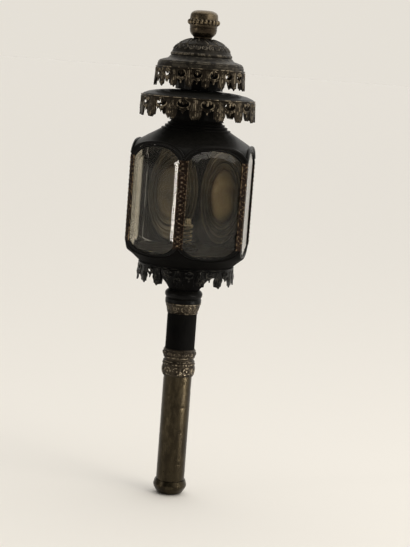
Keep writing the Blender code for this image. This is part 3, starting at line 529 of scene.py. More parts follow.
def soft_line(points, per=6):
    """A smooth line through points, for a rounded stretch of a profile."""
    line = []
    for i in range(len(points) - 1):
        before = points[max(i - 1, 0)]
        start, end = points[i], points[i + 1]
        after = points[min(i + 2, len(points) - 1)]
        for k in range(per):
            t = k / per
            line.append(tuple(0.5 * (2 * b + (c - a) * t + (2 * a - 5 * b + 4 * c - d) * t * t
                                     + (3 * b - a - 3 * c + d) * t ** 3)
                              for a, b, c, d in zip(before, start, end, after)))
    return line + [points[-1]]


def fine_line(start, end, rows):
    """A straight stretch cut into rows, so that a relief has points to move."""
    return [tuple(a + (b - a) * i / rows for a, b in zip(start, end)) for i in range(rows + 1)]


def line_places(line):
    """Each point's share of the line's length, and its outward normal for a line that runs upwards."""
    lengths = [0.0]
    for (r0, z0), (r1, z1) in zip(line, line[1:]):
        lengths.append(lengths[-1] + math.hypot(r1 - r0, z1 - z0))
    places = []
    for i, length in enumerate(lengths):
        r0, z0 = line[max(i - 1, 0)]
        r1, z1 = line[min(i + 1, len(line) - 1)]
        span = math.hypot(r1 - r0, z1 - z0)
        places.append((length / lengths[-1], (z1 - z0) / span, (r0 - r1) / span))
    return places


def lathe(name, outer, bore=(), steps=TURN_STEPS, relief=None):
    """Spin an outer line from its foot up, raise its relief, and close it down a bore or on the axis.

    relief(angle, share) gives a height in metres and a ridge value from 0 to 1.
    """
    bm, layer = relief_bmesh()
    rows = []
    places = line_places(outer)
    for index, (r, z) in enumerate(list(outer) + list(bore)):
        outside = index < len(outer)
        row = []
        for k in range(1 if r < ON_AXIS else steps):
            angle = math.tau * k / steps
            reach, rise = r, z
            level = PLAIN_LEVEL if outside else 0.0
            if outside and relief:
                share, normal_r, normal_z = places[index]
                height, level = relief(angle, share)
                reach, rise = r + normal_r * height, z + normal_z * height
            vert = bm.verts.new((reach * math.cos(angle), reach * math.sin(angle), rise))
            vert[layer] = level
            row.append(vert)
        rows.append(row)
    if len(rows[0]) > 1 and len(rows[-1]) > 1:
        rows.append(rows[0])
    skin(bm, rows)
    return finish_mesh(name, bm)


def turned(name, node, finish, body, slot, outer, bore=(), steps=TURN_STEPS, relief=None):
    """A lathe piece that stands for a solid."""
    return add_piece(name, lathe(name, outer, bore, steps, relief), finish, body, slot, node)


print("lathe ready with", TURN_STEPS, "steps")

# %% Relief helpers


def smooth_step(value, low, high):
    """0 below low, 1 above high, and a smooth rise between."""
    t = min(max((value - low) / (high - low), 0.0), 1.0)
    return t * t * (3.0 - 2.0 * t)


def window(value, low, high, edge):
    """1 between two levels, with a smooth edge on either side."""
    return smooth_step(value, low - edge, low + edge) * (1.0 - smooth_step(value, high - edge, high + edge))


def bell(value, middle, width):
    """1 at a middle, falling to nothing on either side."""
    return math.exp(-(((value - middle) / width) ** 2))


def cell_place(angle, repeats):
    """Place across one of the repeats round a ring, from -1 to 1 with 0 at its middle."""
    return 2.0 * ((angle * repeats / math.tau) % 1.0) - 1.0


def dome_bump(across, along):
    """A round boss on a unit disc."""
    return math.sqrt(max(0.0, 1.0 - across * across - along * along))


print("relief shapes: step, window, bell, boss")

# %% [markdown]
# The stem is a brass tube with a heavy ferrule at its foot. It slides in the carriage's lamp iron, which
# has rubbed it along its length and left small dents. A plain cylinder would look new, so a slow wave and
# a few dents are pressed into the tube, at listed places.

# %% Ferrule and sheath
GAP = 0.3 * MM
SPIGOT_STEP = 1.0 * MM
SHEATH_WALL = 2.0 * MM
SHEATH_ROWS = 160
SHEATH_WAVE = 0.08 * MM
SHEATH_SINK = 1.4
DENT_DEPTH = 0.4 * MM
DENT_ANGLE = 0.16
DENT_SHARE = 0.012
DENTS = ((5.30, 0.93), (5.22, 0.80), (5.38, 0.62), (5.28, 0.44), (5.34, 0.20), (4.22, 0.36), (4.40, 0.71),
         (1.10, 0.55), (2.60, 0.30), (0.20, 0.75), (3.30, 0.84))
FERRULE_FOOT = ((0.0, 0.0), (0.63, 0.0))
FERRULE_SIDE = ((0.65, 0.004), (0.766, 0.07), (0.878, 0.275), (0.965, 0.46), (1.0, 0.643), (0.965, 0.83),
                (0.923, 1.0))


def sheath_wave(angle, share):
    """The slight unevenness of a drawn tube, with small dents at (angle, share) places."""
    wave = math.sin(2 * angle + 5 * share) * math.sin(7 * share + 1.3)
    wave += 0.4 * math.sin(3 * angle - 11 * share)
    dent = sum(bell(angle, at, DENT_ANGLE) * bell(share, up, DENT_SHARE) for at, up in DENTS)
    height = SHEATH_WAVE * (wave - SHEATH_SINK) - DENT_DEPTH * dent
    return height, (0.48 + 0.12 * wave) * (1.0 - min(0.9, dent))


sheath_low, sheath_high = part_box("stem_sheath")
socket_low, socket_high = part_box("stem_socket")
STEM_R = sheath_high.x
stem_bore = STEM_R + GAP
ferrule_floor = sheath_low.z - GAP
ferrule_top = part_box("ferrule")[1].z
ferrule_line = node_shares("ferrule", *FERRULE_FOOT) + soft_line(node_shares("ferrule", *FERRULE_SIDE))
turned("ferrule_turned", "ferrule", STEM_BRASS, "stem", "aged_brass", ferrule_line,
       [(stem_bore, ferrule_top), (stem_bore, ferrule_floor), (0.0, ferrule_floor)])

sheath_shoulder = socket_low.z - GAP
spigot_r = STEM_R - SPIGOT_STEP
sheath_bore = STEM_R - SHEATH_WALL
sheath_line = fine_line((STEM_R, sheath_low.z), (STEM_R, sheath_shoulder), SHEATH_ROWS)
turned("sheath_tube", "stem_sheath", STEM_BRASS, "stem", "aged_brass", sheath_line,
       [(spigot_r, sheath_shoulder), (spigot_r, sheath_high.z), (sheath_bore, sheath_high.z),
        (sheath_bore, sheath_low.z)], relief=sheath_wave)
print("stem radius", round(STEM_R / MM, 1), "mm, ferrule top", round(ferrule_top / MM, 1), "mm")

# %% [markdown]
# Three stamped rings dress the stem: a leafy bayonet collar, a scrolled ring above it and, under the
# lantern's neck, a band of shell bosses. They could be cut one by one. A stamping repeats the same boss
# round the ring, so a formula of the place across one repeat draws each of them. The numbers in it are
# shares of the repeat's half width and of the way up the ring's side.

# %% Stamped rings of the stem
COLLAR_LEAVES = 10
SCROLLS = 14
SHELLS = 8
RELIEF_STEPS = 240
COLLAR_RELIEF = 0.9 * MM
SCROLL_RELIEF = 0.7 * MM
SHELL_RELIEF = 0.8 * MM
COLLAR_SIDE = ((0.955, 0.0), (0.975, 0.10), (1.0, 0.27), (1.0, 0.54), (0.975, 0.74), (0.93, 0.83),
               (0.93, 0.91), (0.96, 1.0))
SCROLL_SIDE = ((0.92, 0.0), (0.97, 0.17), (1.0, 0.42), (0.97, 0.67), (0.92, 1.0))
SHELL_SIDE = ((0.87, 0.0), (0.885, 0.15), (0.925, 0.5), (1.0, 0.88), (1.0, 1.0))


def collar_leaves(angle, share):
    """Curled leaves along the lower edge, a row of beads and a plain top rim."""
    across = cell_place(angle, COLLAR_LEAVES)
    distance = math.hypot(across - 0.18, (share - 0.30) / 0.24)
    curl = bell(distance, 0.74, 0.17) + bell(distance, 0.0, 0.26)
    tip = bell(abs(across), 0.9, 0.16) * window(share, 0.05, 0.34, 0.05)
    bead = dome_bump(cell_place(angle, 3 * COLLAR_LEAVES) / 0.85, (share - 0.64) / 0.055)
    rim = window(share, 0.75, 0.80, 0.015) + window(share, 0.93, 1.0, 0.02)
    level = min(1.0, curl * window(share, 0.04, 0.55, 0.04) + 0.8 * tip + bead + 0.8 * rim)
    return COLLAR_RELIEF * (level - 1.0), level


def ring_scrolls(angle, share):
    """Curled scrolls round the swell of the ring, between two lines."""
    distance = math.hypot(cell_place(angle, SCROLLS), (share - 0.42) / 0.26)
    curl = bell(distance, 0.72, 0.20) + bell(distance, 0.0, 0.28)
    lines = window(share, 0.06, 0.12, 0.02) + window(share, 0.78, 0.86, 0.03)
    level = min(1.0, curl * window(share, 0.10, 0.76, 0.05) + lines)
    return SCROLL_RELIEF * (level - 1.0), 0.25 + 0.40 * level


def band_shells(angle, share):
    """Oval bosses with raised outlines, set between a lower line and the upper lip."""
    distance = math.hypot(cell_place(angle, SHELLS) / 0.86, (share - 0.46) / 0.34)
    outline = bell(distance, 0.90, 0.11) + 0.8 * bell(distance, 0.52, 0.10)
    boss = 0.9 * bell(distance, 0.0, 0.30)
    edges = window(share, 0.0, 0.07, 0.02) + window(share, 0.86, 1.0, 0.03)
    level = min(1.0, outline * window(share, 0.06, 0.86, 0.03) + boss + edges)
    return SHELL_RELIEF * (level - 1.0), level


def stamped_ring(name, node, body, side, relief, bore, rows):
    """A ring with a relief on its side, closed down its bore."""
    low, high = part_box(node)
    turned(name, node, RING_BRASS, body, "aged_brass", soft_line(node_shares(node, *side), rows),
           [(bore, high.z), (bore, low.z)], RELIEF_STEPS, relief)


socket_r = socket_high.x
ring_bore = socket_r + GAP
stamped_ring("collar_leafed", "bayonet_collar", "collar", COLLAR_SIDE, collar_leaves, stem_bore, 5)
stamped_ring("ring_scrolled", "bead_ring", "lantern", SCROLL_SIDE, ring_scrolls, ring_bore, 8)
stamped_ring("band_of_shells", "stem_band", "lantern", SHELL_SIDE, band_shells, ring_bore, 8)
print("stamped rings:", COLLAR_LEAVES, "leaves,", SCROLLS, "scrolls,", SHELLS, "shells")

# %% [markdown]
# The black socket and the heavy neck moulding carry the lantern. Both are plain turned forms, so they only
# need a smooth line, and their lacquer does the rest.

# %% Socket and neck
SOCKET_WALL = 1.2 * MM
SOCKET_ROWS = 12
NECK_BAND = ((0.945, 0.0), (0.96, 0.02), (0.96, 0.28), (0.945, 0.30))
NECK_BEAD = ((0.915, 0.37), (0.955, 0.45), (0.99, 0.55), (1.0, 0.66), (0.99, 0.77), (0.95, 0.88),
             (0.89, 0.95), (0.85, 1.0))
socket_bore = socket_r - SOCKET_WALL
turned("socket_tube", "stem_socket", DULL_BLACK, "lantern", "black_japan",
       fine_line((socket_r, socket_low.z), (socket_r, socket_high.z), SOCKET_ROWS),
       [(socket_bore, socket_high.z), (socket_bore, socket_low.z)])
neck_low, neck_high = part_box("neck_ring")
neck_line = node_shares("neck_ring", *NECK_BAND) + soft_line(node_shares("neck_ring", *NECK_BEAD))
turned("neck_moulding", "neck_ring", BLACK, "lantern", "black_japan", neck_line,
       [(ring_bore, neck_high.z), (ring_bore, neck_low.z)])
print("neck radius", round(neck_high.x / MM, 1), "mm")

# %% [markdown]
# The lantern's roof and bowl are spun cones cut off by six flat faces, which is what gives every window
# its arched top and bottom: the arch is where the cone meets the flat. One line for the roof and one for
# the bowl therefore draw the shells, the window rims, the panes and the door alike.

# %% Roof and bowl lines
SIXTH = math.radians(60.0)
FACE_ANGLES = {"front_left": 240.0, "front_right": 300.0, "side_right": 0.0,
               "back_right": 60.0, "back_left": 120.0, "side_left": 180.0}
SHELL = 1.8 * MM
FACE_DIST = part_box("window_rim_side_right")[1].x
CORNER_R = FACE_DIST / math.cos(SIXTH / 2)
ROOF_IN_SHARE = 0.381
BOWL_IN_SHARE = 0.232
ROOF_SHARES = ((0.0, 1.0), (0.10, 0.86), (0.30, 0.70), (0.55, 0.53), (0.784, 0.36), (0.84, 0.32),
               (0.925, 0.20), (1.0, 0.0))
BOWL_SHARES = ((0.0, 1.0), (0.06, 0.90), (0.20, 0.735), (0.62, 0.43), (0.825, 0.245), (0.871, 0.214),
               (0.94, 0.135), (1.0, 0.0))
roof_low, roof_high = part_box("roof_shell")
bowl_low, bowl_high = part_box("base_bowl")
roof_corner_z = roof_low.z + SHELL
bowl_corner_z = bowl_high.z - SHELL
roof_rise = roof_high.z - roof_corner_z


def smooth_height(line, radius):
    """Height at a radius on a smooth line through points of rising radius, without overshoot."""
    radius = min(max(radius, line[0][0]), line[-1][0])
    slopes = [(z1 - z0) / (r1 - r0) for (r0, z0), (r1, z1) in zip(line, line[1:])]
    tangents = [slopes[0]]
    for first, second in zip(slopes, slopes[1:]):
        tangents.append(2.0 * first * second / (first + second))
    tangents.append(slopes[-1])
    for i, ((r0, z0), (r1, z1)) in enumerate(zip(line, line[1:])):
        if radius <= r1:
            step = r1 - r0
            t = (radius - r0) / step
            return ((2 * t ** 3 - 3 * t * t + 1) * z0 + (t ** 3 - 2 * t * t + t) * step * tangents[i]
                    + (3 * t * t - 2 * t ** 3) * z1 + (t ** 3 - t * t) * step * tangents[i + 1])


ROOF_LINE = spread_line(CORNER_R * ROOF_IN_SHARE, CORNER_R, roof_corner_z, roof_rise, ROOF_SHARES)
BOWL_LINE = spread_line(CORNER_R * BOWL_IN_SHARE, CORNER_R, bowl_corner_z, bowl_low.z - bowl_corner_z,
                        BOWL_SHARES)
print("corner radius", round(CORNER_R / MM, 1), "mm, roof rises", round(roof_rise / MM, 1), "mm")

# %% Shells of the lantern
SIDE_STEPS = 18
RING_STEPS = 26


def hexagon_reach(angle):
    """Distance from the axis to the hexagon of the faces at an angle."""
    return FACE_DIST / math.cos((angle + SIXTH / 2) % SIXTH - SIXTH / 2)


def hexagon_shell(name, line, lift, finish, node):
    """A spun sheet cut by the six faces, with its thickness towards lift."""
    inner = line[0][0]
    bm = bmesh.new()
    sheets = []
    for height in (0.0, lift):
        rings = []
        for k in range(RING_STEPS + 1):
            ring = []
            for i in range(6 * SIDE_STEPS):
                angle = SIXTH * i / SIDE_STEPS - SIXTH / 2
                reach = inner + (hexagon_reach(angle) - inner) * k / RING_STEPS
                ring.append(bm.verts.new((reach * math.cos(angle), reach * math.sin(angle),
                                          smooth_height(line, reach) + height)))
            rings.append(ring)
        sheets.append(rings)
    skin(bm, sheets[0] + sheets[1][::-1] + sheets[0][:1])
    add_piece(name, finish_mesh(name, bm), finish, "lantern", "black_japan", node)


hexagon_shell("roof_spun", ROOF_LINE, -SHELL, BLACK, "roof_shell")
hexagon_shell("bowl_spun", BOWL_LINE, SHELL, DULL_BLACK, "base_bowl")
print("shells with", 6 * SIDE_STEPS, "steps round")

# %% [markdown]
# Every window, and the doorway at the back, has an arched frame with a thin raised bead along its opening.
# The frame is a plate with an opening of the same number of points, and the bead is a tube that follows
# the opening. Heavier tubes make the hood over every arch and the stepped rings where the roof meets the
# throat. Curves with a bevel would give such tubes too, but points set by the face's own formula are sure
# to meet the plates.

# %% Arched outlines and tubes
ARCH_STEPS = 28
BEAD_SIDES = 8


def face_point(face, u, distance, z):
    """A point on a face: u along it, distance out from the axis, z up."""
    angle = math.radians(FACE_ANGLES[face])
    return Vector((distance * math.cos(angle) - u * math.sin(angle),
                   distance * math.sin(angle) + u * math.cos(angle), z))


def arched_outline(half, inset, fill=0.0):
    """Outline (u, z) of a face between the bowl's and the roof's cut edges, drawn in by inset.

    A fill rounds the four corners, by as much as it takes off the height at either end.
    """
    lower = []
    upper = []
    for i in range(ARCH_STEPS + 1):
        turn = math.pi * (i / ARCH_STEPS - 0.5)
        u = half * math.sin(turn)
        radius = math.hypot(FACE_DIST, u)
        drawn = SHELL + GAP + inset + fill * (1.0 - math.cos(turn))
        lower.append((u, smooth_height(BOWL_LINE, radius) + drawn))
        upper.append((-u, smooth_height(ROOF_LINE, radius) - drawn))
    return lower + upper


def face_loop(bm, face, outline, distance):
    """An outline's points on a face, at a distance from the axis."""
    return [bm.verts.new(face_point(face, u, distance, z)) for u, z in outline]


def face_plate(face, near, far, outline, opening=None):
    """A plate between two distances, whole or with an opening of as many points as its outline."""
    bm = bmesh.new()
    loops = [face_loop(bm, face, outline, distance) for distance in (near, far)]
    if opening:
        loops += [face_loop(bm, face, opening, distance) for distance in (far, near)]
        loops.append(loops[0])
    else:
        bm.faces.new(loops[0])
        bm.faces.new(loops[1])
    skin(bm, loops)
    bmesh.ops.recalc_face_normals(bm, faces=bm.faces)
    return bm


def add_tube(bm, path, normals, radius, closed=True):
    """A tube along a path, with an outward normal at each point, closed to a loop or capped at its ends."""
    rings = []
    last = len(path) - 1
    for i, (place, normal) in enumerate(zip(path, normals)):
        if closed:
            along = path[(i + 1) % len(path)] - path[i - 1]
        else:
            along = path[min(i + 1, last)] - path[max(i - 1, 0)]
        across = along.cross(normal).normalized()
        spots = ring_points(place, normal * radius, across * radius, BEAD_SIDES)
        rings.append([bm.verts.new(spot) for spot in spots])
    if closed:
        rings.append(rings[0])
    else:
        bm.faces.new(rings[0])
        bm.faces.new(rings[-1])
    skin(bm, rings)


print("outlines with", 2 * (ARCH_STEPS + 1), "points")

# %% Rims, hoods and roof rings
RIM_DEPTH = 1.2 * MM
RIM_WIDTH = 2.0 * MM
BEAD_R = 1.0 * MM
PANE_THICK = 3.0 * MM
PANE_LAP = 2.0 * MM
CORNER_FILL = 9.0 * MM
ROOF_RINGS = ((36.2 * MM, 1.3 * MM), (39.6 * MM, 1.5 * MM), (44.2 * MM, 1.1 * MM))
ROOF_RING_STEPS = 96
ROOF_RING_LIFT = 0.2
HOOD_R = 2.2 * MM
HOOD_SET_IN = 0.9 * MM
HOOD_RISE = 0.9 * MM
GLAZED = ("front_left", "front_right", "side_right", "side_left")


def arched_rim(name, face, opening_half, fill, node):
    """A face frame with a bead round its opening, whose corners are rounded by a fill."""
    back = FACE_DIST - RIM_DEPTH
    outer_half = back * math.tan(SIXTH / 2) - GAP
    bm = face_plate(face, back, FACE_DIST, arched_outline(outer_half, 0.0),
                    arched_outline(opening_half, RIM_WIDTH, fill))
    bead_line = arched_outline(opening_half + BEAD_R, RIM_WIDTH - BEAD_R, fill)
    path = [face_point(face, u, FACE_DIST, z) for u, z in bead_line]
    add_tube(bm, path, [face_point(face, 0.0, 1.0, 0.0)] * len(path), BEAD_R)
    add_piece(name, finish_mesh(name, bm), BLACK, "lantern", "black_japan", node)


def roof_rings(name):
    """The stepped mouldings where the roof meets the throat."""
    bm = bmesh.new()
    outs = ring_points(Vector(), ACROSS, OUT, ROOF_RING_STEPS)
    for radius, tube in ROOF_RINGS:
        z = smooth_height(ROOF_LINE, radius) + ROOF_RING_LIFT * tube
        add_tube(bm, [out * radius + UP * z for out in outs], outs, tube)
    add_piece(name, finish_mesh(name, bm), BLACK, "lantern", "black_japan")


def arch_hoods(name):
    """A hood moulding over the arch of every face, on the roof's cut edge."""
    bm = bmesh.new()
    distance = FACE_DIST - HOOD_SET_IN
    half = distance * math.tan(SIXTH / 2)
    for face in FACE_ANGLES:
        path = []
        for i in range(ARCH_STEPS + 1):
            u = half * math.sin(math.pi * (i / ARCH_STEPS - 0.5))
            z = smooth_height(ROOF_LINE, math.hypot(FACE_DIST, u)) + HOOD_RISE
            path.append(face_point(face, u, distance, z))
        add_tube(bm, path, [face_point(face, 0.0, 1.0, 0.0)] * len(path), HOOD_R, closed=False)
    add_piece(name, finish_mesh(name, bm), BLACK, "lantern", "black_japan")


roof_rings("roof_mouldings")
arch_hoods("arch_hood_mouldings")
pane_half = (FACE_DIST - RIM_DEPTH - GAP - PANE_THICK) * math.tan(SIXTH / 2) - GAP
window_half = pane_half - PANE_LAP
for face in GLAZED:
    arched_rim("rim_beaded_" + face, face, window_half, CORNER_FILL, "window_rim_" + face)
print("window opening", round(2 * window_half / MM, 1), "mm wide")

# %% [markdown]
# Each pane's edge lies behind its rim, and its middle stands nearly level with the rim. A grinder leaves a
# slope all round the edge, so the pane steps in from its outline to a smaller outline of the same kind,
# which lies further out by the bevel's drop. An inset of the front face would do it too, but its corner
# points can cross where the arch meets the upright.

# %% Bevelled panes
PANE_BEVEL = 10.0 * MM
BEVEL_DROP = 1.2 * MM
PANE_SHARP = math.radians(3.0)


def bevelled_pane(name, face, node):
    """A pane with a flat back, an upright edge, a sloping bevel and a flat front."""
    ledge = FACE_DIST - RIM_DEPTH - GAP
    back = ledge + BEVEL_DROP - PANE_THICK
    lap = RIM_WIDTH - PANE_LAP
    outline = arched_outline(pane_half, lap, CORNER_FILL)
    field = arched_outline(pane_half - PANE_BEVEL, lap + PANE_BEVEL, CORNER_FILL)
    bm = bmesh.new()
    steps = ((outline, back), (outline, ledge), (field, ledge + BEVEL_DROP))
    loops = [face_loop(bm, face, points, distance) for points, distance in steps]
    bm.faces.new(loops[0])
    bm.faces.new(loops[-1])
    skin(bm, loops)
    add_piece(name, finish_mesh(name, bm, PANE_SHARP), GLASS, "lantern", "pane_glass", node)


for face in GLAZED:
    bevelled_pane("pane_bevelled_" + face, face, "glass_" + face)
print("panes:", len(GLAZED), "with bevels of", PANE_BEVEL / MM, "mm")

# %% [markdown]
# Things that repeat come from one Geometry Nodes tree. It sets points from an angle step and a height
# step, puts a copy of a modelled cell on each, leans it, and makes the copies real. With the height step
# at nothing it makes a ring, as for the galleries, and with the angle step at nothing it makes a column,
# as for the corner strips. A small seeded wobble keeps old hand-bent pendants from looking machine-made.

# %% The repeating tree
REPEAT_INPUTS = {"Cell": "Object", "Count": "Int", "Radius": "Float", "Start angle": "Float",
                 "Angle step": "Float", "Start height": "Float", "Height step": "Float", "Lean": "Float",
                 "Wobble": "Float", "Seed": "Int", "Finish": "Material"}
REPEAT_DEFAULTS = {"Seed": 7, "Wobble": 0.0, "Lean": 0.0, "Angle step": 0.0, "Height step": 0.0,
                   "Start angle": 0.0}


def repeat_tree():
    """A node tree that repeats one cell round a ring or up a column, and its inputs' identifiers."""
    tree = bpy.data.node_groups.new("repeat_cells", "GeometryNodeTree")
    sockets = tree.interface
    sockets.new_socket("Geometry", in_out="OUTPUT", socket_type="NodeSocketGeometry")
    identifiers = {}
    for name, kind in REPEAT_INPUTS.items():
        made = sockets.new_socket(name, in_out="INPUT", socket_type="NodeSocket" + kind)
        identifiers[name] = made.identifier
    given = tree.nodes.new("NodeGroupInput").outputs

    def math_of(operation, first, second=0.0):
        return add_node(tree, "ShaderNodeMath", {0: first, 1: second}, operation=operation).outputs[0]

    def vector_of(x, y, z):
        return add_node(tree, "ShaderNodeCombineXYZ", {0: x, 1: y, 2: z}).outputs[0]

    def stray(seed):
        least = math_of("MULTIPLY", given["Wobble"], -1.0)
        return add_node(tree, "FunctionNodeRandomValue", {2: least, 3: given["Wobble"], "Seed": seed},
                        data_type="FLOAT").outputs[1]

    index = add_node(tree, "GeometryNodeInputIndex").outputs[0]
    angle = math_of("ADD", given["Start angle"], math_of("MULTIPLY", index, given["Angle step"]))
    height = math_of("ADD", given["Start height"], math_of("MULTIPLY", index, given["Height step"]))
    place = vector_of(math_of("MULTIPLY", given["Radius"], math_of("COSINE", angle)),
                      math_of("MULTIPLY", given["Radius"], math_of("SINE", angle)), height)
    turn = vector_of(math_of("ADD", given["Lean"], stray(given["Seed"])),
                     stray(math_of("ADD", given["Seed"], 1.0)), math_of("SUBTRACT", angle, math.pi / 2))
    points = add_node(tree, "GeometryNodePoints", {"Count": given["Count"], "Position": place}).outputs[0]
    cell = add_node(tree, "GeometryNodeObjectInfo", {"Object": given["Cell"]}, transform_space="ORIGINAL")
    copies = add_node(tree, "GeometryNodeInstanceOnPoints",
                      {"Points": points, "Instance": cell.outputs["Geometry"], "Rotation": turn}).outputs[0]
    real = add_node(tree, "GeometryNodeRealizeInstances", {0: copies}).outputs[0]
    painted = add_node(tree, "GeometryNodeSetMaterial", {"Geometry": real, "Material": given["Finish"]})
    tree.links.new(painted.outputs[0], tree.nodes.new("NodeGroupOutput").inputs[0])
    return tree, identifiers


REPEAT_TREE, REPEAT_IDS = repeat_tree()


def repeated(name, cell_mesh, finish, **values):
    """A plain mesh of a cell repeated by the tree; values are the tree's inputs by name."""
    cell = bpy.data.objects.new(name + "_cell", cell_mesh)
    holder = bpy.data.objects.new(name + "_holder", bpy.data.meshes.new(name + "_holder"))
    for obj in (cell, holder):
        bpy.context.collection.objects.link(obj)
    repeat = holder.modifiers.new("repeat", "NODES")
    repeat.node_group = REPEAT_TREE
    settings = {"Cell": cell, "Finish": finish, **REPEAT_DEFAULTS}
    settings.update({key.replace("_", " "): value for key, value in values.items()})
    for key, value in settings.items():
        repeat[REPEAT_IDS[key]] = value
    bpy.context.view_layer.update()
    evaluated = holder.evaluated_get(bpy.context.evaluated_depsgraph_get())
    mesh = bpy.data.meshes.new_from_object(evaluated)
    mesh.name = name
    holder.modifiers.remove(repeat)
    for obj in (cell, holder):
        bpy.data.objects.remove(obj, do_unlink=True)
    return mesh


print("repeating tree with", len(REPEAT_INPUTS), "inputs")

# %% [markdown]
# A gallery is a stamped and pierced plate bent to a ring. One repeat of it, a cell, is a plate with an oval
# opening, and small closed solids on it give the stamped relief: a ring round the opening, a bud in it,
# beads and a leaf below it. Heavy fluted pendants hang between the openings. A cell is drawn flat, with x
# along the rim and y outwards, and bent to its ring at the end, so that neighbours meet.

# %% Cell helpers


def oval_torus(bm, layer, centre, half_u, half_v, tube, steps=20, sides=6):
    """An oval ring of round wire in the cell's face."""
    rings = []
    for i in range(steps):
        angle = math.tau * i / steps
        out = Vector((math.cos(angle) / half_u, 0.0, math.sin(angle) / half_v)).normalized()
        middle = centre + Vector((half_u * math.cos(angle), 0.0, half_v * math.sin(angle)))
        ring = [bm.verts.new(spot) for spot in ring_points(middle, out * tube, OUT * tube, sides)]
        for k, vert in enumerate(ring):
            vert[layer] = 0.5 + 0.5 * math.sin(math.tau * k / sides)
        rings.append(ring)
    skin(bm, rings + rings[:1])


def boss(bm, layer, centre, halves, steps=8, rows=4):
    """A small rounded boss, with half its size along, out and up."""
    rings = []
    for i in range(rows + 1):
        polar = math.pi * i / rows
        ring = []
        for k in range(1 if i in (0, rows) else steps):
            angle = math.tau * k / steps
            way = (math.sin(polar) * math.cos(angle), math.sin(polar) * math.sin(angle), math.cos(polar))
            vert = bm.verts.new([middle + half * part for middle, half, part in zip(centre, halves, way)])
            vert[layer] = 0.5 + 0.5 * way[1]
            ring.append(vert)
        rings.append(ring)
    skin(bm, rings[::-1])


def leaf_plate(bm, layer, outline, thick, crown, flutes, fringe):
    """A pendant: (half width, height) rows from the top down, crowned and fluted on its outer face.

    Each flute ends in a point, and the notches between the points are as deep as the fringe.
    """
    columns = 4 * flutes
    top = outline[0][1]
    drop = top - outline[-1][1]
    fronts = []
    backs = []
    for half, z in outline:
        front = []
        back = []
        for i in range(columns + 1):
            across = 2.0 * i / columns - 1.0
            flute = 0.5 + 0.5 * math.cos(math.pi * flutes * across)
            swell = 1.0 - across * across
            level = z + fringe * (1.0 - flute) * ((top - z) / drop) ** 3
            vert = bm.verts.new((half * across, thick + crown * swell * (0.45 + 0.55 * flute), level))
            vert[layer] = 0.25 + 0.75 * swell * flute
            front.append(vert)
            back.append(bm.verts.new((half * across, 0.0, level)))
        fronts.append(front)
        backs.append(back)
    skin(bm, [front + back[::-1] for front, back in zip(fronts, backs)])
    for front, back in ((fronts[0], backs[0]), (fronts[-1], backs[-1])):
        for k in range(columns):
            bm.faces.new((front[k], front[k + 1], back[k + 1], back[k]))


def bend(bm, radius):
    """Bend a flat cell to its ring."""
    for vert in bm.verts:
        turn = vert.co.x / radius
        reach = radius + vert.co.y
        vert.co = (reach * math.sin(turn), reach * math.cos(turn) - radius, vert.co.z)


print("cell shapes: oval ring, boss, fluted leaf")

# %% [markdown]
# The three galleries differ in their proportions: squarish fluted tassels below the lower canopy, slim
# leaves below the upper one, and broad arrowheads with rosettes under the bowl. One function takes those
# proportions. The plain upper band is turned, and the pendants are repeated apart from the plate, so that
# each can hang a little out of line as old thin brass does.

# %% Gallery cells
GALLERY_BAND = 3.2 * MM
GALLERY_SHEET = 0.9 * MM
WIRE_R = 0.85 * MM
RING_FOOT = 1.6 * MM
HOLE_STEPS = 10
PLATE_LEVEL = 0.35
# Lobes of the bud in an opening: side, share of its half height they rise, share of its half width
BUD_LOBES = ((-1.0, 0.62, 0.20), (0.0, 0.40, 0.24), (1.0, 0.62, 0.20))
BUD_DEPTH = 1.1 * MM
# Beads under an opening: share of its half width, height over the ring's foot in mm, half sizes in mm
BEADS = ((0.0, -1.0, (1.5, 0.9, 1.5)), (0.0, -4.0, (1.1, 0.7, 2.0)),
         (-0.42, -0.3, (1.5, 0.8, 1.1)), (0.42, -0.3, (1.5, 0.8, 1.1)),
         (-0.86, 0.9, (1.3, 0.8, 1.3)), (0.86, 0.9, (1.3, 0.8, 1.3)))
PENDANT_CROWN = 0.9 * MM
PENDANT_FRINGE = 3.6 * MM
PETALS = 8
PETAL_RING_R = 2.9 * MM
PETAL = (1.5 * MM, 0.9 * MM, 1.5 * MM)
ROSETTE_EYE = (1.8 * MM, 1.4 * MM, 1.8 * MM)


def pierced_half(bm, layer, points, side):
    """Half of a cell's plate: an outline (x, z) given thickness, on one side of the middle line."""
    rows = []
    for out in (0.0, GALLERY_SHEET):
        row = [bm.verts.new((side * x, out, z)) for x, z in points]
        for vert in row:
            vert[layer] = PLATE_LEVEL
        bm.faces.new(row)
        rows.append(row)
    skin(bm, rows)


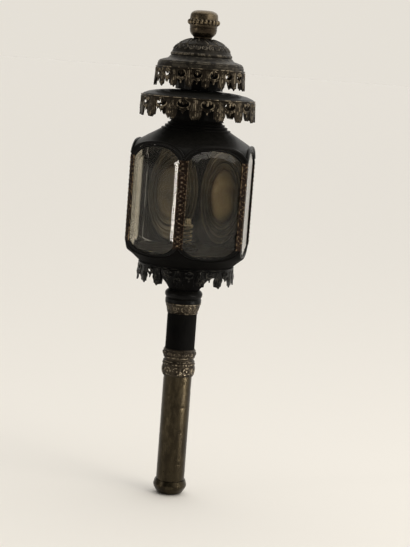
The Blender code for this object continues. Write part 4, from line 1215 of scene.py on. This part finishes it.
def gallery_cell(name, radius, pitch, height, hole, pendant_half):
    """One repeat of the plate, with its oval hole at x 0 and half a pendant's backing at either side."""
    bm, layer = relief_bmesh()
    half_u, half_v = hole
    middle_z = -GALLERY_BAND - half_v
    foot = middle_z - half_v - RING_FOOT
    edge = 0.5 * pitch
    points = [(0.0, middle_z + half_v), (0.0, 0.0), (edge, 0.0), (edge, -0.94 * height),
              (edge - 0.80 * pendant_half, -0.88 * height), (edge - 0.92 * pendant_half, -0.62 * height),
              (edge - 0.66 * pendant_half, foot), (0.55 * half_u, foot), (0.30 * half_u, foot - 2.4 * MM),
              (0.0, foot - 5.0 * MM)]
    for i in range(HOLE_STEPS):
        angle = math.pi * i / HOLE_STEPS
        points.append((half_u * math.sin(angle), middle_z - half_v * math.cos(angle)))
    for side in (-1.0, 1.0):
        pierced_half(bm, layer, points, side)
    ring_middle = Vector((0.0, GALLERY_SHEET, middle_z))
    oval_torus(bm, layer, ring_middle, half_u + 0.5 * WIRE_R, half_v + 0.5 * WIRE_R, WIRE_R)
    for side, lift, size in BUD_LOBES:
        boss(bm, layer, (side * 0.52 * half_u, 0.5 * GALLERY_SHEET, middle_z + lift * half_v),
             (size * half_u, BUD_DEPTH, (1.0 - 0.7 * lift) * half_v))
    for share, lift, halves in BEADS:
        boss(bm, layer, (share * half_u, GALLERY_SHEET, foot + lift * MM), [half * MM for half in halves])
    bend(bm, radius)
    return finish_mesh(name, bm)


def pendant_cell(name, radius, height, pendant, pendant_half, flutes, rosette):
    """A fluted pendant that hangs from the band, with a rosette where the gallery has them."""
    bm, layer = relief_bmesh()
    top = -0.8 * GALLERY_BAND
    rows = [(pendant_half * share, top - (height + top) * drop) for share, drop in pendant]
    leaf_plate(bm, layer, rows, GALLERY_SHEET, PENDANT_CROWN, flutes, PENDANT_FRINGE)
    if rosette:
        middle = Vector((0.0, 1.5 * MM, -0.56 * height))
        for place in ring_points(middle, ACROSS * PETAL_RING_R, UP * PETAL_RING_R, PETALS):
            boss(bm, layer, place, PETAL)
        boss(bm, layer, middle, ROSETTE_EYE)
    bend(bm, radius)
    return finish_mesh(name, bm)


print("gallery cells with", len(BUD_LOBES) + len(BEADS), "bosses each")

# %% Galleries
PENDANT_WOBBLE = math.radians(3.0)
BAND_STEPS = 144
# Side of the band: reach past the sheet in mm, share of the band's height below its top
BAND_SIDE = ((0.0, 1.0), (0.5, 0.85), (0.0, 0.70), (0.0, 0.50), (0.6, 0.36), (0.75, 0.20), (0.5, 0.05),
             (-0.2, 0.0))
# Pendants: share of the half width, share of the drop
TASSEL = ((0.60, 0.0), (0.66, 0.18), (0.80, 0.36), (0.98, 0.54), (1.0, 0.68), (0.94, 0.82), (0.82, 0.93),
          (0.62, 1.0))
LEAF = ((0.55, 0.0), (0.62, 0.15), (0.80, 0.33), (1.0, 0.50), (0.96, 0.64), (0.72, 0.80), (0.36, 0.93),
        (0.06, 1.0))
ARROW = ((0.45, 0.0), (0.55, 0.18), (0.80, 0.36), (1.0, 0.52), (0.88, 0.66), (0.60, 0.82), (0.30, 0.93),
         (0.05, 1.0))


def band_bead(angle, share):
    """No height of its own, but a polish along the band's rolled bead."""
    return 0.0, 0.25 + 0.75 * window(share, 0.62, 0.92, 0.1)


def gallery_band(name, node, inner, finish, slot):
    """The turned band that carries the pendants, with a rolled bead along its top."""
    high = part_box(node)[1].z
    side = [(inner + GALLERY_SHEET + out * MM, high - drop * GALLERY_BAND) for out, drop in BAND_SIDE]
    turned(name, node, finish, "lantern", slot, soft_line(side, 4),
           [(inner, high), (inner, high - GALLERY_BAND)], BAND_STEPS, band_bead)


def gallery(label, inner, flare, repeats, hole, pendant, pendant_half, flutes, finish, slot, rosette=False):
    """A band, a pierced plate and a ring of pendants, which stand for the gallery's solid of that name."""
    low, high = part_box(label)
    height = high.z - low.z
    step = math.tau / repeats
    common = {"Count": repeats, "Radius": inner, "Angle_step": step, "Start_height": high.z,
              "Lean": math.atan2(flare, height)}
    gallery_band(label + "_band", label, inner, finish, slot)
    cell = gallery_cell(label + "_cell", inner, step * inner, height, hole, pendant_half)
    mesh = repeated(label + "_plate", cell, finish, **common)
    add_piece(label + "_plate", mesh, finish, "lantern", slot)
    cell = pendant_cell(label + "_drop", inner, height, pendant, pendant_half, flutes, rosette)
    mesh = repeated(label + "_pendants", cell, finish, Start_angle=0.5 * step, Wobble=PENDANT_WOBBLE,
                    **common)
    add_piece(label + "_pendants", mesh, finish, "lantern", slot)
    print(label, "with", repeats, "repeats,", round(height / MM, 1), "mm high")


lower_canopy_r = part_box("lower_canopy")[1].x
upper_canopy_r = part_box("upper_canopy")[1].x
base_gallery_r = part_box("base_gallery")[1].x
gallery("lower_gallery", lower_canopy_r + GAP, flare=0.7 * MM, repeats=15, hole=(8.0 * MM, 4.9 * MM),
        pendant=TASSEL, pendant_half=8.0 * MM, flutes=5, finish=GALLERY_BRONZE, slot="bronze_gallery")
gallery("upper_gallery", upper_canopy_r + GAP, flare=0.6 * MM, repeats=17, hole=(5.4 * MM, 4.8 * MM),
        pendant=LEAF, pendant_half=5.6 * MM, flutes=3, finish=GALLERY_BRONZE, slot="bronze_gallery")
gallery("base_gallery", base_gallery_r - GALLERY_SHEET, flare=0.0, repeats=14, hole=(4.6 * MM, 2.8 * MM),
        pendant=ARROW, pendant_half=8.0 * MM, flutes=3, finish=BLACK_BRONZE, slot="black_japan",
        rosette=True)

# %% [markdown]
# The six corner strips are stamped angles of red copper with a rope of rosettes down each. The angle is a
# short section drawn out along the corner, and the rosettes are one cell repeated up the column by the
# same tree as the galleries.

# %% Corner strips
STRIP_LEG = 6.8 * MM
STRIP_THICK = 1.2 * MM
# One leg's outer side from its edge to the corner: share of the leg, share of the thickness
STRIP_SIDE = ((0.0, 0.35), (0.06, 0.85), (0.16, 0.95), (0.24, 0.75), (0.34, 0.45), (0.95, 0.45))
# Places of the rolled edges among the section's points
ROLLED_POINTS = (1, 2, 9, 10)
ROLLED_LEVEL = 0.75
FLAT_LEVEL = 0.2
ROSETTES = 19
ROSETTE_PITCH = 5.75 * MM
ROSETTE_SINK = 0.5 * MM
EYE = (1.5 * MM, 1.0 * MM, 1.5 * MM)
EYE_SINK = 0.9 * MM
STRIP_PETAL = (1.1 * MM, 0.8 * MM, 1.0 * MM)
PETAL_X = 1.9 * MM
PETAL_Z = 1.35 * MM
PETAL_SINK = 0.95 * MM
SIDE_BEAD = (0.9 * MM, 0.9 * MM, 1.2 * MM)
SIDE_BEAD_X = 3.7 * MM
SIDE_BEAD_SINK = 0.75 * MM
strip_low, strip_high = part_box("corner_strip_1")
strip_near = FACE_DIST + GAP


def strip_section(angle):
    """Points of the angle's section: rolled edges and a rounded corner outside, plain inside."""
    half = FACE_DIST * math.tan(SIXTH / 2)
    legs = []
    feet = []
    for side in (-1, 1):
        face_angle = angle + side * SIXTH / 2
        out = Vector((math.cos(face_angle), math.sin(face_angle)))
        along = Vector((math.sin(face_angle), -math.cos(face_angle))) * side
        legs.append([out * (strip_near + STRIP_THICK * lift) + along * (half - STRIP_LEG * (1.0 - share))
                     for share, lift in STRIP_SIDE])
        feet.append(out * strip_near + along * (half - STRIP_LEG))
    corner = Vector((math.cos(angle), math.sin(angle))) * (strip_near / math.cos(SIXTH / 2))
    return legs[0] + legs[1][::-1] + [feet[1], corner, feet[0]]


def strip_angle(name, angle):
    """The stamped angle, drawn up the corner."""
    bm, layer = relief_bmesh()
    rows = []
    for z in (strip_low.z, strip_high.z):
        row = [bm.verts.new((place.x, place.y, z)) for place in strip_section(angle)]
        for index, vert in enumerate(row):
            vert[layer] = ROLLED_LEVEL if index in ROLLED_POINTS else FLAT_LEVEL
        rows.append(row)
    skin(bm, rows)
    bm.faces.new(rows[0])
    bm.faces.new(rows[1])
    return finish_mesh(name, bm)


def rosette_cell(name):
    """A bead on the corner with four petals and a pair of side beads, all leaning onto the strip."""
    bm, layer = relief_bmesh()
    lean = math.tan(SIXTH / 2)
    boss(bm, layer, (0.0, -EYE_SINK, 0.0), EYE)
    petal_y = -PETAL_SINK - lean * PETAL_X
    bead_y = -SIDE_BEAD_SINK - lean * SIDE_BEAD_X
    for side in (-1.0, 1.0):
        for up in (-1.0, 1.0):
            boss(bm, layer, (side * PETAL_X, petal_y, up * PETAL_Z), STRIP_PETAL, 6)
        boss(bm, layer, (side * SIDE_BEAD_X, bead_y, 0.5 * ROSETTE_PITCH), SIDE_BEAD, 6)
    return finish_mesh(name, bm)


strip_r = (strip_near + STRIP_THICK) / math.cos(SIXTH / 2) - ROSETTE_SINK
rosette_start = 0.5 * (strip_low.z + strip_high.z) - 0.5 * ROSETTE_PITCH * (ROSETTES - 1)
for number in range(1, 7):
    angle = math.radians(270.0) + SIXTH * (number - 1)
    name = f"strip_angle_{number}"
    mesh = strip_angle(name, angle)
    add_piece(name, mesh, STRIP_COPPER, "lantern", "copper_strip", f"corner_strip_{number}")
    name = f"strip_rosettes_{number}"
    mesh = repeated(name, rosette_cell(name + "_cell"), STRIP_COPPER, Count=ROSETTES, Radius=strip_r,
                    Start_angle=angle, Start_height=rosette_start, Height_step=ROSETTE_PITCH)
    add_piece(name, mesh, STRIP_COPPER, "lantern", "copper_strip")
print("corner strips: 6 with", ROSETTES, "rosettes each")

# %% [markdown]
# The reflectors are dished ovals of silvered brass on the two back faces, with pressed rings round a smooth
# middle oval. A dish is a set of ovals at falling depths, so a smooth line from the rim to the middle,
# scaled on two axes, makes it. The middle oval is rounder than the rim, so the width shrinks more slowly
# than the height.

# %% Reflectors
# From the rim to the middle: share of the height, share of the depth
REFLECTOR_RINGS = ((1.0, 1.0), (0.97, 0.98), (0.94, 0.84), (0.88, 0.72), (0.84, 0.66), (0.82, 0.72),
                   (0.80, 0.68), (0.76, 0.54), (0.73, 0.52), (0.705, 0.60), (0.68, 0.64), (0.655, 0.58),
                   (0.62, 0.45), (0.60, 0.42), (0.585, 0.47), (0.56, 0.40), (0.44, 0.27), (0.30, 0.2125),
                   (0.15, 0.19))
REFLECTOR_SHEET = 0.9 * MM
REFLECTOR_STEPS = 72
PANEL_THICK = 2.0 * MM
REFLECTOR_DEPTH = 8.0 * MM
REFLECTOR_HALF_W = 35.0 * MM
REFLECTOR_SLIMMING = 0.78


def oval_reflector(name, face, body, node):
    """A dished oval of thin sheet, whose points carry their share of the way out from the middle."""
    low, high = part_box(node)
    middle = 0.5 * (low.z + high.z)
    half_h = 0.5 * (high.z - low.z)
    seat = FACE_DIST - PANEL_THICK - GAP
    bm, layer = relief_bmesh()
    sheets = []
    for back in (0.0, REFLECTOR_SHEET):
        sheet = []
        for share, depth in soft_line(REFLECTOR_RINGS, 4):
            loop = []
            for k in range(REFLECTOR_STEPS):
                angle = math.tau * k / REFLECTOR_STEPS
                across = REFLECTOR_HALF_W * share ** REFLECTOR_SLIMMING * math.cos(angle)
                vert = bm.verts.new(face_point(face, across, seat - REFLECTOR_DEPTH * depth + back,
                                               middle + half_h * share * math.sin(angle)))
                vert[layer] = share
                loop.append(vert)
            sheet.append(loop)
        bm.faces.new(sheet[-1])
        sheets.append(sheet)
    skin(bm, sheets[0][::-1] + sheets[1])
    add_piece(name, finish_mesh(name, bm), REFLECTOR, body, "reflector_metal", node)


oval_reflector("back_reflector_dished", "back_right", "lantern", "back_reflector")
oval_reflector("door_reflector_dished", "back_left", "door", "door_reflector")
print("reflectors: 2,", REFLECTOR_STEPS, "steps round")

# %% [markdown]
# The two back faces are sheet: one fixed, one a hinged door through which the candle is lit. A raised bead
# like that of the windows stiffens each sheet along its edge, and the inside is bare tin browned by smoke.
# The hinges keep their solids.

# %% Back faces and door
DOOR_CLEARANCE = 0.6 * MM
SHEET_BEAD_SIDE = 6.0 * MM
SHEET_BEAD_END = 5.0 * MM
SHEET_BEAD_SINK = 0.3 * MM
jamb_half = FACE_DIST * math.tan(SIXTH / 2) - STRIP_LEG - GAP
door_half = jamb_half - DOOR_CLEARANCE
panel_half = (FACE_DIST - PANEL_THICK) * math.tan(SIXTH / 2) - RIM_DEPTH * math.tan(SIXTH / 2)


def sheet_face(name, face, half, inset, body, node):
    """A back face: an arched sheet with a stiffening bead set in from its edge, and tin inside."""
    bm = face_plate(face, FACE_DIST - PANEL_THICK, FACE_DIST, arched_outline(half, inset))
    out = face_point(face, 0.0, 1.0, 0.0)
    # Of the sheet's faces, the many-sided one that looks inwards is the tin
    for plate in bm.faces:
        plate.material_index = 1 if plate.normal.dot(out) < -0.9 and len(plate.verts) > 4 else 0
    bead_line = arched_outline(half - SHEET_BEAD_SIDE, inset + SHEET_BEAD_END)
    path = [face_point(face, u, FACE_DIST - SHEET_BEAD_SINK, z) for u, z in bead_line]
    add_tube(bm, path, [out] * len(path), BEAD_R)
    sheet = add_piece(name, finish_mesh(name, bm), BLACK, body, "black_japan", node)
    sheet.data.materials.append(SMOKED_TIN)


sheet_face("back_sheet", "back_right", panel_half, 0.0, "lantern", "back_panel")
sheet_face("door_sheet", "back_left", door_half, RIM_WIDTH + DOOR_CLEARANCE, "door", "door_panel")
arched_rim("jamb_beaded", "back_left", jamb_half, 0.0, "door_jamb")
print("door", round(2 * door_half / MM, 1), "mm wide")

# %% [markdown]
# Inside the lantern a spring in the candle tube pushes the candle up against the nozzle. The candle is
# gone, so the spring stands up out of the nozzle with the follower's spike at its top. The spring is a
# wire along a helix.

# %% Candle spring
SPRING_TURNS = 36
CURL_STEPS = 24
WIRE_SIDES = 8
SPRING_WIRE_R = 0.9 * MM
spring_low, spring_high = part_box("candle_spring")


def helix_wire(name):
    """A round wire along a helix, with its ends closed."""
    bm = bmesh.new()
    rows = []
    coil_r = spring_high.y - SPRING_WIRE_R
    low = spring_low.z + SPRING_WIRE_R
    high = spring_high.z - SPRING_WIRE_R
    count = SPRING_TURNS * CURL_STEPS
    for i in range(count + 1):
        angle = math.tau * i / CURL_STEPS
        out = Vector((math.cos(angle), math.sin(angle), 0.0))
        middle = out * coil_r + UP * (low + (high - low) * i / count)
        spots = ring_points(middle, out * SPRING_WIRE_R, UP * SPRING_WIRE_R, WIRE_SIDES)
        rows.append([bm.verts.new(spot) for spot in spots])
    skin(bm, rows)
    bm.faces.new(rows[0])
    bm.faces.new(rows[-1])
    return finish_mesh(name, bm)


spring = add_piece("spring_coiled", helix_wire("spring_coiled"), WIRE, "stem", "spring_wire",
                   "candle_spring")
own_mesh(spring)

# %% Follower and nozzle
FOLLOWER_PLATE = ((0.0, 0.0), (1.0, 0.0), (1.0, 0.15))
FOLLOWER_SPIKE = ((0.94, 0.19), (0.55, 0.22), (0.45, 0.30), (0.43, 0.55), (0.36, 0.72), (0.22, 0.90),
                  (0.10, 0.98), (0.0, 1.0))
NOZZLE_MOUTH_SHARE = 0.566
NOZZLE_BORE_SHARE = 0.779
NOZZLE_LIP = 4.0 * MM
NOZZLE_SIDE = ((0.862, 0.0), (0.862, 0.60), (0.90, 0.68), (1.0, 0.72), (1.0, 0.79), (0.92, 0.86),
               (0.78, 0.98), (0.70, 1.0), (NOZZLE_MOUTH_SHARE, 1.0))
FOLLOWER_STEPS = 32
NOZZLE_STEPS = 48
follower_line = node_shares("candle_follower", *FOLLOWER_PLATE)
follower_line += soft_line(node_shares("candle_follower", *FOLLOWER_SPIKE))
turned("follower_spiked", "candle_follower", WIRE, "follower", "tinned_steel", follower_line,
       steps=FOLLOWER_STEPS)
nozzle_low, nozzle_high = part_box("candle_nozzle")
nozzle_bore = nozzle_high.x * NOZZLE_BORE_SHARE
nozzle_seat = nozzle_high.z - NOZZLE_LIP
turned("nozzle_turned", "candle_nozzle", STEM_BRASS, "stem", "aged_brass",
       node_shares("candle_nozzle", *NOZZLE_SIDE),
       [(nozzle_high.x * NOZZLE_MOUTH_SHARE, nozzle_seat), (nozzle_bore, nozzle_seat),
        (nozzle_bore, nozzle_low.z)], NOZZLE_STEPS)
print("nozzle top", round(nozzle_high.z / MM, 1), "mm")

# %% [markdown]
# Above the roof stands the chimney: a throat, two spun canopies with their galleries, a vented drum
# between them and an embossed dome. Spun sheet has soft shoulders, so each line is smoothed through a few
# points. Two fine grooves run round the upper canopy, each with a painted highlight line along its upper
# edge. The dome's leaves and ringed bosses are raised by formula, as on the stem, and a lip under its edge
# closes the joint with the canopy.

# %% Throat and lower canopy
SHEET = 1.2 * MM
SMOKE_HOLE_R = 20.0 * MM
CANOPY_WALL = 1.4 * MM
THROAT_FLARE = 1.6 * MM
# The throat's foot: reach past the tube, height over the roof
THROAT_FOOT = ((THROAT_FLARE, 0.0), (0.5 * MM, 1.2 * MM), (0.0, 2.6 * MM))
CANOPY_SHARES = ((1.0, 0.17), (0.975, 0.30), (0.93, 0.40), (0.78, 0.64), (0.45, 0.88), (0.0, 1.0))
throat_low, throat_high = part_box("throat")
throat_r = throat_high.x - THROAT_FLARE
throat_line = soft_line([(throat_r + out, throat_low.z + up) for out, up in THROAT_FOOT])
turned("throat_tube", "throat", BLACK, "lantern", "black_japan", throat_line + [(throat_r, throat_high.z)],
       [(throat_r - SHEET, throat_high.z), (throat_r - SHEET, throat_low.z)])

canopy_low, canopy_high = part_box("lower_canopy")
canopy_top = soft_line(spread_line(SMOKE_HOLE_R, lower_canopy_r, canopy_low.z, canopy_high.z - canopy_low.z,
                                   CANOPY_SHARES))
canopy_inside_r = lower_canopy_r - SHEET
canopy_under = [(min(r, canopy_inside_r), z - CANOPY_WALL) for r, z in canopy_top]
turned("lower_canopy_spun", "lower_canopy", BLACK, "lantern", "black_japan",
       [(lower_canopy_r, canopy_low.z)] + canopy_top,
       canopy_under[::-1] + [(canopy_inside_r, canopy_low.z)])
print("lower canopy", round(lower_canopy_r / MM, 1), "mm in radius")

# %% Upper canopy
WEB_RISE = 7.7 * MM
GROOVE_DEPTH = 0.5 * MM
OVOLO_STEPS = 18
UPPER_SHARES = ((1.0, 0.10), (0.96, 0.42), (0.82, 0.60), (0.50, 0.72), (0.16, 0.82), (0.0, 1.0))
upper_low, upper_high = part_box("upper_canopy")
dome_low, dome_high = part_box("dome_cap")
dome_r = dome_high.x
web_z = upper_low.z + WEB_RISE
ovolo_points = spread_line(dome_r, upper_canopy_r, upper_low.z, upper_high.z - upper_low.z, UPPER_SHARES)
ovolo = soft_line(ovolo_points, OVOLO_STEPS)
ovolo_under = [(r - SHEET, z - SHEET) for r, z in ovolo[OVOLO_STEPS:3 * OVOLO_STEPS + 1:OVOLO_STEPS // 2]]


def canopy_grooves(angle, share):
    """Two fine turned grooves above the gallery, each with a painted highlight line along its upper edge.
    """
    grooves = window(share, 0.250, 0.280, 0.012) + window(share, 0.345, 0.375, 0.012)
    # The lighter lines just above the grooves are painted highlights
    rubbed_and_highlight = window(share, 0.300, 0.325, 0.012) + window(share, 0.395, 0.42, 0.012)
    return -GROOVE_DEPTH * grooves, 0.5 - 0.5 * grooves + 0.5 * rubbed_and_highlight


turned("upper_canopy_spun", "upper_canopy", DOME_BRONZE, "lantern", "black_japan",
       [(upper_canopy_r, upper_low.z)] + ovolo,
       [(dome_r - SHEET, upper_high.z), (dome_r - SHEET, web_z + SHEET), (SMOKE_HOLE_R, web_z + SHEET),
        (SMOKE_HOLE_R, web_z), (dome_r + SHEET, web_z)] + ovolo_under[::-1]
       + [(upper_canopy_r - SHEET, upper_low.z)], relief=canopy_grooves)
print("upper canopy", round(upper_canopy_r / MM, 1), "mm in radius")

# %% Embossed dome
DOME_BOSSES = 26
DOME_LEAVES = 13
DOME_RELIEF = 1.0 * MM
DOME_ROWS = 48
DOME_OUT_POWER = 0.9
DOME_UP_POWER = 1.1
BOSS_STEPS = 12
STUD_HOLE_R = 4.0 * MM
DOME_INNER_REACH = 0.945
DOME_INNER_RISE = 0.92
LIP_PLAY = 0.2 * MM
LIP_DROP = 1.5 * MM


def dome_relief(angle, share):
    """From the rim up: a row of ringed bosses and a row of leaves, parted by lines, and a plain crown."""
    distance = math.hypot(cell_place(angle, DOME_BOSSES), (share - 0.27) / 0.085)
    ringed = bell(distance, 0.72, 0.22) + bell(distance, 0.0, 0.30)
    across = cell_place(angle, DOME_LEAVES)
    half = max(0.05, 0.95 * math.sin(math.pi * min(max((share - 0.38) / 0.44, 0.0), 1.0)) ** 0.7)
    leaf = max(0.0, 1.0 - (across / half) ** 2) * window(share, 0.40, 0.80, 0.03)
    veins = 0.55 + 0.45 * math.cos(9.0 * across + 26.0 * share)
    lines = window(share, 0.02, 0.09, 0.02) + window(share, 0.36, 0.385, 0.012)
    lines += window(share, 0.84, 0.88, 0.015)
    level = min(1.0, ringed * window(share, 0.15, 0.36, 0.02) + leaf * veins + lines)
    return DOME_RELIEF * (max(level, smooth_step(share, 0.86, 0.90)) - 1.0), level


dome_line = []
for i in range(DOME_ROWS + 1):
    turn = math.radians(90.0 * (1.0 - i / DOME_ROWS))
    up = max(math.cos(turn), 0.0) ** DOME_UP_POWER
    dome_line.append((STUD_HOLE_R + (dome_r - STUD_HOLE_R) * math.sin(turn) ** DOME_OUT_POWER,
                      dome_low.z + (dome_high.z - dome_low.z) * up))
dome_inside = [(STUD_HOLE_R + (r - STUD_HOLE_R) * DOME_INNER_REACH,
                dome_low.z + (z - dome_low.z) * DOME_INNER_RISE) for r, z in dome_line[::-4]]
lip_r = dome_r - SHEET - LIP_PLAY
lip_z = dome_low.z - LIP_DROP
dome_lip = [(dome_inside[-1][0], lip_z), (lip_r, lip_z), (lip_r, dome_low.z)]
turned("dome_embossed", "dome_cap", DOME_BRONZE, "lantern", "black_japan", dome_line,
       dome_inside + dome_lip, BOSS_STEPS * DOME_BOSSES, dome_relief)
print("dome with", DOME_BOSSES, "bosses and", DOME_LEAVES, "leaves")

# %% [markdown]
# The finial is a cast brass knop: a rounded barrel with a ring of upright beads round its waist, two fine
# lines under them and a bowl that narrows to the neck. Its body is the lightest of the aged metals.

# %% Finial
GADROONS = 22
GADROON_RISE = 2.9 * MM
FINIAL_GROOVE = 0.7 * MM
STUD_BORE_R = 3.8 * MM
STUD_BORE_DEPTH = 15.3 * MM
FINIAL_SIDE = ((0.56, -0.03), (0.58, 0.02), (0.68, 0.075), (0.785, 0.16), (0.825, 0.25), (0.84, 0.33),
               (0.86, 0.45), (0.86, 0.56), (0.86, 0.68), (0.85, 0.78), (0.82, 0.86), (0.74, 0.92),
               (0.60, 0.97), (0.45, 0.992), (0.25, 0.997), (0.0, 0.997))


def finial_beads(angle, share):
    """Upright beads round the waist and two lines below them, with painted light from above that makes the
    barrel lighter than the bowl below.
    """
    bead = dome_bump(cell_place(angle, GADROONS) / 0.92, (share - 0.434) / 0.068)
    lines = window(share, 0.285, 0.297, 0.008) + window(share, 0.322, 0.334, 0.008)
    band = window(share, 0.372, 0.496, 0.006)
    # The level rising towards the top is painted light: the upper barrel lighter, the lower bowl darker
    level = (0.38 + 0.30 * smooth_step(share, 0.30, 0.55)) * (1.0 - band) + bead * band
    return GADROON_RISE * bead - FINIAL_GROOVE * lines, level * (1.0 - min(1.0, lines))


finial_low, finial_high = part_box("finial")
stud_top = finial_low.z + STUD_BORE_DEPTH
turned("finial_cast", "finial", FINIAL_BRASS, "lantern", "aged_brass",
       soft_line(node_shares("finial", *FINIAL_SIDE), 7),
       [(0.0, stud_top), (STUD_BORE_R, stud_top), (STUD_BORE_R, finial_low.z)],
       BOSS_STEPS * GADROONS, finial_beads)
print("finial top", round(finial_high.z / MM, 1), "mm")

# %% [markdown]
# The solids that keep their own form are small or mostly hidden: the vented drum, the chamber floor, the
# candle tube, the hinges with their pins, the knob, and the stud and nut. Their forms are right as they
# are, so they only take the finishes.

# %% Solids that keep their form
KEPT_FINISHES = {
    BLACK: ("vent_drum", "hinge_jamb_lower", "hinge_jamb_upper", "hinge_door_lower", "hinge_door_upper"),
    STEM_BRASS: ("hinge_pin_lower", "hinge_pin_upper", "door_knob"),
    TIN: ("candle_tube", "finial_stud", "finial_nut"),
    SMOKED_TIN: ("chamber_floor",),
}
for finish, names in KEPT_FINISHES.items():
    for name in names:
        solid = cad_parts[name].data
        solid.materials.clear()
        solid.materials.append(finish)
print("kept solids:", sum(len(names) for names in KEPT_FINISHES.values()))
